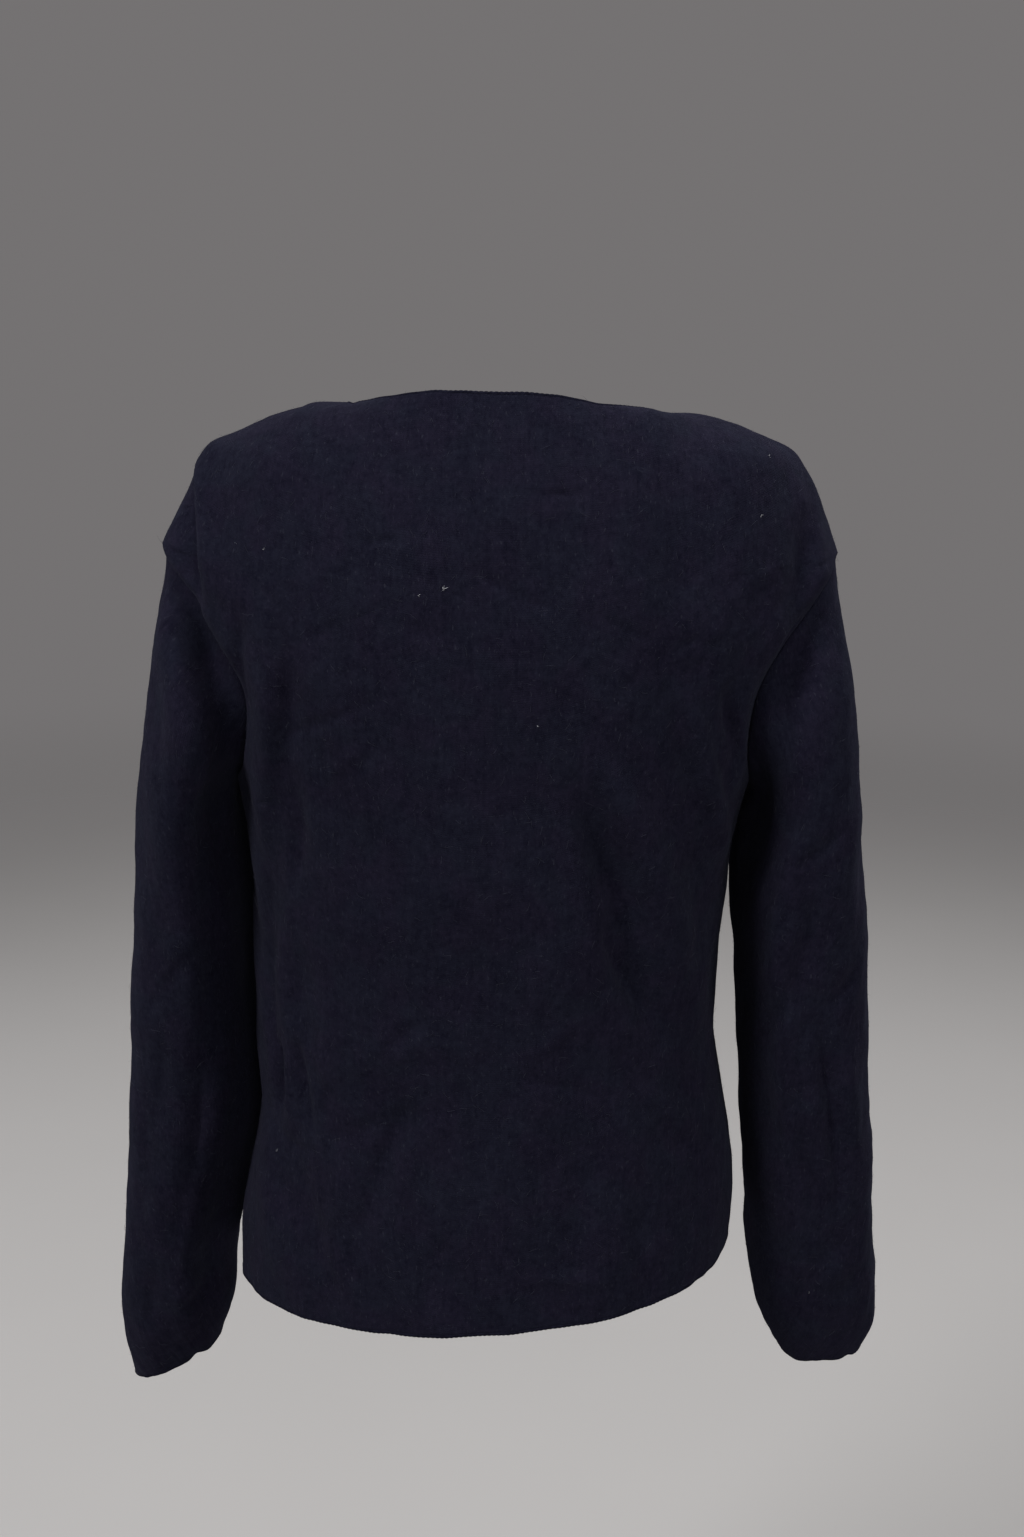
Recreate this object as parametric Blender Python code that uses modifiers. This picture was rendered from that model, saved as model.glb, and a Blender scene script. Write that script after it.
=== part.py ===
"""A plain knitted pullover in the form it keeps when it is worn.

Four thin walls, cut as a maker would cut them: back panel, front panel and two sleeves. The neck, the hem and
the cuffs are open, and so are the armholes between body and sleeves.
Metres. X runs to the wearer's left, Y to the wearer's back, Z up. The origin lies between the neck corners,
where the shoulders carry the garment.
"""

from collections import namedtuple

import bpy
import numpy as np

# Cloth. The seam gap is between the middles of two walls' edges, and their corners come to 0.3 mm.
WALL = 0.002
SEAM_GAP = 0.0004
SEAM_STRIP = 0.003
CLOTH_COLOUR = (0.0125, 0.0125, 0.0235, 1.0)
CLOTH_ROUGHNESS = 0.9

# Mesh spacing: intervals across a panel, down its three lengths and down a sleeve
PANEL_ACROSS = 36
SHOULDER_ROWS = 7
ARMHOLE_ROWS = 12
SIDE_ROWS = 16
SLEEVE_ROWS = 26
ARC_SAMPLES = 200

# The shoulder line from the neck corner to the armhole, on the wearer's left and right: how far out and how high.
# Then where the knitted row that ends there crosses the middle of the back and of the front.
Shoulder = namedtuple("Shoulder", "left left_height right right_height back back_height front front_height")
SHOULDERS = (
    Shoulder(0.0935, -0.0025, 0.1010, -0.0060, 0.056, 0.0050, 0.054, -0.0280),
    Shoulder(0.1215, -0.0050, 0.1210, -0.0055, 0.063, -0.0080, 0.062, -0.0390),
    Shoulder(0.1455, -0.0125, 0.1480, -0.0125, 0.070, -0.0215, 0.069, -0.0500),
    Shoulder(0.1630, -0.0205, 0.1690, -0.0195, 0.077, -0.0350, 0.076, -0.0600),
    Shoulder(0.1810, -0.0295, 0.1855, -0.0280, 0.084, -0.0490, 0.082, -0.0710),
    Shoulder(0.1885, -0.0405, 0.1925, -0.0380, 0.090, -0.0630, 0.087, -0.0820),
    Shoulder(0.1955, -0.0560, 0.2010, -0.0540, 0.095, -0.0780, 0.092, -0.0940),
    Shoulder(0.2110, -0.0890, 0.2150, -0.0890, 0.101, -0.1050, 0.098, -0.1150),
)

# How far out the body's sides would reach at the armholes, if these weren't cut out of them. The first row is the
# last shoulder point and the last row is the underarm.
Reach = namedtuple("Reach", "height left right")
REACHES = (
    Reach(-0.0890, 0.2110, 0.2150),
    Reach(-0.1150, 0.2130, 0.2190),
    Reach(-0.1450, 0.2110, 0.2140),
    Reach(-0.1800, 0.1960, 0.1980),
    Reach(-0.2150, 0.1765, 0.1775),
    Reach(-0.2400, 0.1650, 0.1650),
)
ARMHOLE_DEPTH = 0.0640
ARMHOLE_POINTEDNESS = 1.25
DEPTH_AT_ARMHOLES = 0.1050

# The body below the armholes: height, reach of the two side seams, and depth of the middle back and middle front
Side = namedtuple("Side", "height left right back front")
SIDES = (
    Side(-0.2450, 0.1650, 0.1650, 0.111, 0.106),
    Side(-0.2800, 0.1585, 0.1580, 0.112, 0.107),
    Side(-0.3400, 0.1570, 0.1530, 0.111, 0.107),
    Side(-0.4000, 0.1580, 0.1500, 0.110, 0.107),
    Side(-0.4600, 0.1555, 0.1590, 0.113, 0.109),
    Side(-0.5050, 0.1590, 0.1665, 0.118, 0.112),
    Side(-0.5450, 0.1700, 0.1690, 0.122, 0.115),
    Side(-0.5740, 0.1750, 0.1680, 0.124, 0.116),
)
HEM_TILT = 0.0125
ROUNDNESS = 2.15

# A row's height goes from its middle to its edge with a power of the distance: at the neck on the left and on the
# right, and at the hem, where the row is straight.
NECK_LIFT_LEFT = 2.2
NECK_LIFT_RIGHT = 1.5
HEM_LIFT = 1.0

# The sleeves below the armhole: outer and inner line, half the depth from front to back, and how far forward
Ring = namedtuple("Ring", "outer outer_height inner inner_height half_depth forward")
LEFT_RINGS = (
    Ring(0.2210, -0.1780, 0.1705, -0.2480, 0.0690, 0.001),
    Ring(0.2280, -0.2320, 0.1695, -0.2700, 0.0690, 0.002),
    Ring(0.2350, -0.3100, 0.1665, -0.3300, 0.0620, 0.003),
    Ring(0.2420, -0.3900, 0.1655, -0.4000, 0.0550, 0.005),
    Ring(0.2485, -0.4700, 0.1655, -0.4700, 0.0510, 0.008),
    Ring(0.2550, -0.5500, 0.1745, -0.5400, 0.0480, 0.011),
    Ring(0.2610, -0.6250, 0.1840, -0.6050, 0.0420, 0.013),
    Ring(0.2600, -0.6680, 0.1870, -0.6410, 0.0340, 0.014),
    Ring(0.2545, -0.6945, 0.1955, -0.6675, 0.0260, 0.015),
)
RIGHT_RINGS = (
    Ring(0.2290, -0.1720, 0.1705, -0.2480, 0.0690, 0.001),
    Ring(0.2355, -0.2260, 0.1690, -0.2650, 0.0690, 0.002),
    Ring(0.2465, -0.3100, 0.1645, -0.3150, 0.0620, 0.003),
    Ring(0.2540, -0.3850, 0.1680, -0.3850, 0.0550, 0.005),
    Ring(0.2625, -0.4700, 0.1770, -0.4700, 0.0510, 0.008),
    Ring(0.2710, -0.5450, 0.1845, -0.5450, 0.0480, 0.011),
    Ring(0.2780, -0.6050, 0.1910, -0.6100, 0.0420, 0.013),
    Ring(0.2790, -0.6420, 0.2020, -0.6450, 0.0340, 0.014),
    Ring(0.2735, -0.6620, 0.2150, -0.6680, 0.0260, 0.015),
)
SLEEVE_ROUNDNESS = 2.1
SLEEVE_START = 0.0013
UNDERARM_CLEAR = 0.0026

# Largest folds, as seen square on: where each starts and ends (across, height), how far its line bows sideways,
# its half width and its depth. A negative depth is a ridge. Each fades out over a quarter of its length.
Fold = namedtuple("Fold", "start_x start_z end_x end_z bow half_width depth")
FADE = 0.25
BACK_FOLDS = (
    Fold(0.1980, -0.0500, 0.1880, -0.1550, 0.003, 0.011, 0.009),
    Fold(-0.2020, -0.0600, -0.1900, -0.1450, -0.002, 0.011, 0.005),
    Fold(-0.0420, -0.2150, -0.1010, -0.3850, 0.004, 0.021, 0.007),
    Fold(0.1500, -0.1600, 0.1480, -0.3100, 0.000, 0.013, -0.005),
    Fold(0.1230, -0.1950, 0.1240, -0.3050, 0.004, 0.015, 0.005),
    Fold(-0.1200, -0.1700, -0.1400, -0.2900, 0.003, 0.014, -0.004),
    Fold(0.1480, -0.4570, 0.0700, -0.4300, 0.008, 0.016, 0.005),
    Fold(0.1480, -0.4700, 0.0500, -0.4900, -0.006, 0.016, 0.004),
)
FRONT_FOLDS = (
    Fold(0.1980, -0.0600, 0.1880, -0.1600, 0.003, 0.011, 0.007),
    Fold(-0.2020, -0.0700, -0.1900, -0.1600, -0.002, 0.011, 0.008),
    Fold(0.0520, -0.2400, 0.1080, -0.3900, 0.004, 0.021, 0.006),
    Fold(-0.1240, -0.1900, -0.1220, -0.3200, 0.004, 0.015, 0.005),
    Fold(-0.1480, -0.4550, -0.0600, -0.4300, 0.008, 0.016, 0.005),
    Fold(0.1450, -0.4800, 0.0400, -0.5000, -0.006, 0.016, 0.004),
)
LEFT_SLEEVE_BACK_FOLDS = (
    Fold(0.1880, -0.3800, 0.2020, -0.5350, 0.004, 0.014, 0.006),
    Fold(0.2260, -0.4150, 0.1860, -0.3200, 0.003, 0.013, 0.003),
    Fold(0.2250, -0.5300, 0.2080, -0.6250, 0.002, 0.013, 0.004),
)
LEFT_SLEEVE_FRONT_FOLDS = (
    Fold(0.2080, -0.3300, 0.2120, -0.4900, 0.004, 0.014, 0.005),
    Fold(0.2350, -0.4300, 0.1950, -0.3700, 0.003, 0.013, 0.004),
)
RIGHT_SLEEVE_BACK_FOLDS = (
    Fold(-0.2230, -0.4050, -0.2400, -0.5400, -0.003, 0.014, 0.005),
    Fold(-0.1860, -0.3000, -0.1960, -0.4700, -0.008, 0.014, -0.004),
    Fold(-0.2000, -0.4000, -0.2110, -0.4700, 0.002, 0.013, 0.004),
)
RIGHT_SLEEVE_FRONT_FOLDS = (
    Fold(-0.2150, -0.3500, -0.2250, -0.5000, 0.004, 0.014, 0.005),
    Fold(-0.2500, -0.4500, -0.2050, -0.3900, 0.003, 0.013, 0.004),
)


def smooth_through(stations, values, at):
    """A smooth curve through the values: cubic pieces whose slopes come from the neighbours."""
    stations = np.asarray(stations, float)
    values = np.asarray(values, float)
    slopes = np.gradient(values, stations)
    i = np.clip(np.searchsorted(stations, at) - 1, 0, len(stations) - 2)
    width = stations[i + 1] - stations[i]
    t = (at - stations[i]) / width
    rise = values[i + 1] - values[i]
    bend = width * t * (1 - t) * ((slopes[i] - rise / width) * (1 - t) - (slopes[i + 1] - rise / width) * t)
    return values[i] + rise * t + bend


def running_length(line):
    """The share of a line's length at each of its points, from 0 to 1."""
    steps = np.linalg.norm(np.diff(line, axis=0), axis=1)
    return np.concatenate([[0.0], np.cumsum(steps)]) / steps.sum()


def smooth_line(line, at):
    """Points along a smooth line through the given ones, at shares of its length."""
    line = np.asarray(line, float)
    stations = running_length(line)
    return np.stack([smooth_through(stations, column, at) for column in line.T], axis=1)


def half_row(middle, edge, lift):
    """Points from the middle of a panel round to its edge, evenly spaced along a superellipse through both.

    middle is (y, z) at x = 0 and edge is (x, y, z). The height goes from the one to the other with a power of x.
    """
    depth = abs(middle[0])
    edge_share = abs(edge[1]) / depth
    reach = abs(edge[0]) / (1 - edge_share**ROUNDNESS) ** (1 / ROUNDNESS)
    angle = np.linspace(0, np.arccos(edge_share ** (ROUNDNESS / 2)), ARC_SAMPLES)
    x = reach * np.sin(angle) ** (2 / ROUNDNESS)
    y = depth * np.abs(np.cos(angle)) ** (2 / ROUNDNESS)
    length = np.concatenate([[0.0], np.cumsum(np.hypot(np.diff(x), np.diff(y)))])
    # The last interval is a narrow strip, so that the wall's edge stands square to the seam.
    share = np.append(np.linspace(0, length[-1] - SEAM_STRIP, PANEL_ACROSS // 2), length[-1])
    x = np.interp(share, length, x)
    y = np.interp(share, length, y)
    z = middle[1] + (edge[2] - middle[1]) * (x / abs(edge[0])) ** lift
    return np.stack([np.sign(edge[0]) * x, np.sign(middle[0]) * y, z], axis=1)


def shoulder_line(sign):
    """The shoulder line's table points on one side: sign is 1 for the wearer's left and -1 for the right."""
    if sign > 0:
        return np.array([[s.left, 0.0, s.left_height] for s in SHOULDERS])
    return np.array([[-s.right, 0.0, s.right_height] for s in SHOULDERS])


def armhole_angles():
    """Angles from the armhole's top to the underarm, halfway between even in angle and even in height."""
    step = np.linspace(0, 1, ARMHOLE_ROWS + 1)
    return np.arccos(0.5 * np.cos(np.pi * step) + 0.5 * (1 - 2 * step))


def armhole(sign, angle):
    """The armhole's points: from its top by the back to the underarm, and on by the front, cut out of the body."""
    heights = np.array([r.height for r in REACHES])
    reaches = np.array([r.left if sign > 0 else r.right for r in REACHES])
    top, bottom = heights[0], heights[-1]
    z = (top + bottom) / 2 + np.cos(angle) * (top - bottom) / 2
    y = np.sign(np.sin(angle)) * ARMHOLE_DEPTH * np.abs(np.sin(angle)) ** ARMHOLE_POINTEDNESS
    reach = smooth_through(-heights, reaches, -z)
    x = sign * reach * (1 - np.abs(y / DEPTH_AT_ARMHOLES) ** ROUNDNESS) ** (1 / ROUNDNESS)
    return np.stack([x, y, z], axis=1)


def panel_edge(sign, side):
    """One long edge of a panel: along the shoulder, down the armhole and down the side seam to the hem."""
    shoulder = smooth_line(shoulder_line(sign), np.linspace(0, 1, SHOULDER_ROWS + 1))
    ring = armhole(sign, side * armhole_angles())
    tilt = np.linspace(0, HEM_TILT, len(SIDES))
    reach = [s.left if sign > 0 else s.right for s in SIDES]
    seam = np.array([[sign * x, 0.0, s.height - sign * t] for x, s, t in zip(reach, SIDES, tilt)])
    seam[0] = ring[-1]
    seam = smooth_line(seam, np.linspace(0, 1, SIDE_ROWS + 1))
    edge = np.concatenate([shoulder, ring[1:], seam[1:]])
    edge[:, 1] += side * SEAM_GAP / 2
    return edge


def panel_middle(side):
    """The panel's middle line from neck to hem, as (y, z), with as many rows as its edges."""
    if side > 0:
        top = [[s.back, s.back_height] for s in SHOULDERS]
        body = [[s.back, s.height] for s in SIDES]
    else:
        top = [[-s.front, s.front_height] for s in SHOULDERS]
        body = [[-s.front, s.height] for s in SIDES]
    line = np.array(top + body)
    stations = running_length(line)
    at = np.concatenate(
        [
            np.linspace(0, stations[len(top) - 1], SHOULDER_ROWS + 1),
            np.linspace(stations[len(top) - 1], stations[len(top)], ARMHOLE_ROWS + 1)[1:],
            np.linspace(stations[len(top)], 1, SIDE_ROWS + 1)[1:],
        ]
    )
    return smooth_line(line, at)


def normals_of(grid, wraps):
    """The grid's unit normals, to the side that the turn from its rows to its columns gives."""
    if wraps:
        ring = np.concatenate([grid[:, -1:], grid, grid[:, :1]], axis=1)
        across = (ring[:, 2:] - ring[:, :-2]) / 2
    else:
        across = np.gradient(grid, axis=1)
    normal = np.cross(across, np.gradient(grid, axis=0))
    return normal / np.linalg.norm(normal, axis=2, keepdims=True)


def folded(grid, outward, side, folds, free):
    """The grid with its folds, on the cloth that faces back (side 1) or front (side -1).

    Each point moves inward by a bell-shaped profile across each fold's line, and free is its share of that.
    """
    x, z = grid[:, :, 0], grid[:, :, 2]
    inward = np.zeros(x.shape)
    for fold in folds:
        run = np.array([fold.end_x - fold.start_x, fold.end_z - fold.start_z])
        length = np.linalg.norm(run)
        along = ((x - fold.start_x) * run[0] + (z - fold.start_z) * run[1]) / length**2
        aside = ((z - fold.start_z) * run[0] - (x - fold.start_x) * run[1]) / length
        aside = aside - fold.bow * 4 * along * (1 - along)
        past_end = np.maximum(np.abs(along - 0.5) - (0.5 - FADE), 0) / FADE
        inward += fold.depth * np.exp(-((aside / fold.half_width) ** 2) - past_end**2)
    facing = np.clip(2 * side * outward[:, :, 1], 0, 1)
    return grid - outward * (inward * facing * free)[:, :, None]


def panel(side, folds):
    """Rows of points across the back (side 1) or the front (side -1), from the wearer's right to the left."""
    middles, lefts, rights = panel_middle(side), panel_edge(1, side), panel_edge(-1, side)
    left_lifts = np.linspace(NECK_LIFT_LEFT, HEM_LIFT, len(middles))
    right_lifts = np.linspace(NECK_LIFT_RIGHT, HEM_LIFT, len(middles))
    rows = []
    for i, middle in enumerate(middles):
        to_left = half_row(middle, lefts[i], left_lifts[i])
        to_right = half_row(middle, rights[i], right_lifts[i])
        rows.append(np.concatenate([to_right[::-1], to_left[1:]]))
    grid = np.array(rows)
    # Nothing moves at the seams, where the pieces meet.
    free = np.ones(grid.shape[:2])
    free[:, :2] = free[:, -2:] = 0.0
    free[:, 2] = free[:, -3] = 0.5
    return folded(grid, side * normals_of(grid, False), side, folds, free)


def sleeve(sign, rings, back_folds, front_folds):
    """Rings of points down a sleeve, each starting at its outer side and running by the back to the inner side."""
    half = armhole_angles()
    angle = np.concatenate([half, 2 * np.pi - half[-2:0:-1]])
    start = armhole(sign, angle)
    first, last = start[0], start[ARMHOLE_ROWS]
    outward = np.array([sign * (first[2] - last[2]), 0.0, sign * (last[0] - first[0])])
    start += outward / np.linalg.norm(outward) * SLEEVE_START
    start[:, 0] += sign * UNDERARM_CLEAR * ((1 - np.cos(angle)) / 2) ** 3
    table = np.array([[r.outer, r.outer_height, r.inner, r.inner_height, r.half_depth, r.forward] for r in rings])
    table = np.vstack([[abs(first[0]), first[2], abs(last[0]), last[2], ARMHOLE_DEPTH, 0.0], table])
    stations = running_length(table[:, :4])
    at = np.linspace(0, 1, SLEEVE_ROWS + 1)
    outer, outer_z, inner, inner_z, depth, forward = (
        smooth_through(stations, column, at)[:, None] for column in table.T
    )
    bend = 2 / SLEEVE_ROUNDNESS
    across = np.sign(np.cos(angle)) * np.abs(np.cos(angle)) ** bend
    deep = np.sign(np.sin(angle)) * np.abs(np.sin(angle)) ** bend
    x = sign * ((outer + inner) / 2 + (outer - inner) / 2 * across)
    y = depth * deep - forward
    z = (outer_z + inner_z) / 2 + (outer_z - inner_z) / 2 * across
    grid = np.stack([x, y, z], axis=2)
    # The armhole's own outline eases into the plain rings over the first two stretches.
    ease = np.clip(at / stations[2], 0, 1)
    ease = ease * ease * (3 - 2 * ease)
    grid += (start - grid[0]) * (1 - ease[:, None, None])
    outward = -sign * normals_of(grid, True)
    grid = folded(grid, outward, 1, back_folds, ease[:, None])
    return folded(grid, outward, -1, front_folds, ease[:, None])


def sheet(name, grid, wraps, turned, material, collection):
    """One cloth piece: the grid's faces, each split along its shorter diagonal, given thickness by Solidify."""
    rows, columns = grid.shape[:2]
    index = np.arange(rows * columns).reshape(rows, columns)
    if wraps:
        index = np.concatenate([index, index[:, :1]], axis=1)
    a, b, c, d = (corner.ravel() for corner in (index[:-1, :-1], index[:-1, 1:], index[1:, 1:], index[1:, :-1]))
    points = grid.reshape(-1, 3)
    by_ac = np.linalg.norm(points[a] - points[c], axis=1) < np.linalg.norm(points[b] - points[d], axis=1)
    first = np.stack([a, b, np.where(by_ac, c, d)], axis=1)
    second = np.stack([np.where(by_ac, a, b), c, d], axis=1)
    faces = np.concatenate([first, second])
    if turned:
        faces = faces[:, ::-1]
    mesh = bpy.data.meshes.new(name)
    mesh.from_pydata(points.tolist(), [], faces.tolist())
    mesh.materials.append(material)
    mesh.shade_smooth()
    piece = bpy.data.objects.new(name, mesh)
    collection.objects.link(piece)
    wall = piece.modifiers.new("wall", "SOLIDIFY")
    wall.thickness = WALL
    wall.offset = 0.0
    wall.use_even_offset = True


def knit(name):
    """The plain knit's material."""
    material = bpy.data.materials.new(name)
    material.use_nodes = True
    surface = material.node_tree.nodes["Principled BSDF"]
    surface.inputs["Base Color"].default_value = CLOTH_COLOUR
    surface.inputs["Roughness"].default_value = CLOTH_ROUGHNESS
    surface.inputs["Metallic"].default_value = 0.0
    return material


def main():
    for old in list(bpy.data.objects):
        bpy.data.objects.remove(old, do_unlink=True)
    garment = bpy.data.collections.new("sweater")
    bpy.context.scene.collection.children.link(garment)
    sheet("back_panel", panel(1, BACK_FOLDS), False, False, knit("back_knit"), garment)
    sheet("front_panel", panel(-1, FRONT_FOLDS), False, True, knit("front_knit"), garment)
    left = sleeve(1, LEFT_RINGS, LEFT_SLEEVE_BACK_FOLDS, LEFT_SLEEVE_FRONT_FOLDS)
    right = sleeve(-1, RIGHT_RINGS, RIGHT_SLEEVE_BACK_FOLDS, RIGHT_SLEEVE_FRONT_FOLDS)
    sheet("sleeve_left", left, True, False, knit("left_sleeve_knit"), garment)
    sheet("sleeve_right", right, True, True, knit("right_sleeve_knit"), garment)


main()
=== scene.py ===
# A plain navy pullover in fine fulled wool, in the hollow form it keeps when it is worn, over a pale studio floor.
# Metres, but for the creases. X runs to the wearer's left, Y to the wearer's back, Z up.
import math

import bpy
import numpy as np
from mathutils import Matrix, Vector


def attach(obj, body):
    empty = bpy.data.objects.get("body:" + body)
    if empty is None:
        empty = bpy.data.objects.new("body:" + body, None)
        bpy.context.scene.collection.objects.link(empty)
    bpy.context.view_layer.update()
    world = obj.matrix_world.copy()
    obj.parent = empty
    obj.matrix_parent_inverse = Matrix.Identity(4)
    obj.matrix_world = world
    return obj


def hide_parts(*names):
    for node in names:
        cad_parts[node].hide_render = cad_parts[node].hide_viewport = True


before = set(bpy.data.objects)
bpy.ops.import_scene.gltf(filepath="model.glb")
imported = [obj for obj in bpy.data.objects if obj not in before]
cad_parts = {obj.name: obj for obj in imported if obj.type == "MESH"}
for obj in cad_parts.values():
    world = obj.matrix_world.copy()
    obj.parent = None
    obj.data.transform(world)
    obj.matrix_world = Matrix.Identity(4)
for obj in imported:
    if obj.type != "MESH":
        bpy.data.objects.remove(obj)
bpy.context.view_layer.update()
print("frame loaded:", ", ".join(sorted(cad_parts)))

# The cut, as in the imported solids
body = {
    # the shoulder line from neck corner to armhole, left and right (how far out, how high), then where the
    # knitted row that ends there crosses the middle of the back and of the front (depth, height)
    "shoulders": [
        (0.0935, -0.0025, 0.1010, -0.0060, 0.056, 0.0050, 0.054, -0.0280),
        (0.1215, -0.0050, 0.1210, -0.0055, 0.063, -0.0080, 0.062, -0.0390),
        (0.1455, -0.0125, 0.1480, -0.0125, 0.070, -0.0215, 0.069, -0.0500),
        (0.1630, -0.0205, 0.1690, -0.0195, 0.077, -0.0350, 0.076, -0.0600),
        (0.1810, -0.0295, 0.1855, -0.0280, 0.084, -0.0490, 0.082, -0.0710),
        (0.1885, -0.0405, 0.1925, -0.0380, 0.090, -0.0630, 0.087, -0.0820),
        (0.1955, -0.0560, 0.2010, -0.0540, 0.095, -0.0780, 0.092, -0.0940),
        (0.2110, -0.0890, 0.2150, -0.0890, 0.101, -0.1050, 0.098, -0.1150),
    ],
    # how far out the sides would reach if the armholes weren't cut out of them (height, left, right)
    "reaches": [
        (-0.0890, 0.2110, 0.2150),
        (-0.1150, 0.2130, 0.2190),
        (-0.1450, 0.2110, 0.2140),
        (-0.1800, 0.1960, 0.1980),
        (-0.2150, 0.1765, 0.1775),
        (-0.2400, 0.1650, 0.1650),
    ],
    # below the armholes (height, reach of the left and right side seam, depth of the middle back and front)
    "sides": [
        (-0.2450, 0.1650, 0.1650, 0.111, 0.106),
        (-0.2800, 0.1585, 0.1580, 0.112, 0.107),
        (-0.3400, 0.1570, 0.1530, 0.111, 0.107),
        (-0.4000, 0.1580, 0.1500, 0.110, 0.107),
        (-0.4600, 0.1565, 0.1590, 0.113, 0.109),
        (-0.5050, 0.1645, 0.1665, 0.118, 0.112),
        (-0.5450, 0.1718, 0.1690, 0.122, 0.115),
        (-0.5740, 0.1725, 0.1680, 0.124, 0.116),
    ],
    "armholeDepth": 0.064,
    "armholePointedness": 1.25,
    "depthAtArmholes": 0.105,
    "hemTilt": 0.0125,
    "roundness": 2.15,
    "neckLift": (2.2, 1.5),  # a row's height goes from middle to edge with this power of x: left, right
    "hemLift": 1.0,
    "seamGap": 0.0004,
    "wall": 0.0018,
    "arcSamples": 500,
    "edgeSpacing": 0.5,  # how much closer the columns stand at the seams than on average
    "stillEdge": 0.016,  # creases fade out over this distance to a seam
    "stillShoulder": 0.004,  # but over this one at the shoulders
    # how deep the armhole seam lies in its valley: left back, left front, right back, right front
    "valleys": {(1, 1): 0.0175, (1, -1): 0.0070, (-1, 1): 0.0085, (-1, -1): 0.0075},
    "valleyWidth": 0.010,
    "valleyLean": (0.55, 0.83),  # the shares of that depth that go across and inwards
    "grooveDepth": 0.0008,
    "grooveWidth": 0.0022,
}

mm = 0.001

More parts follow.
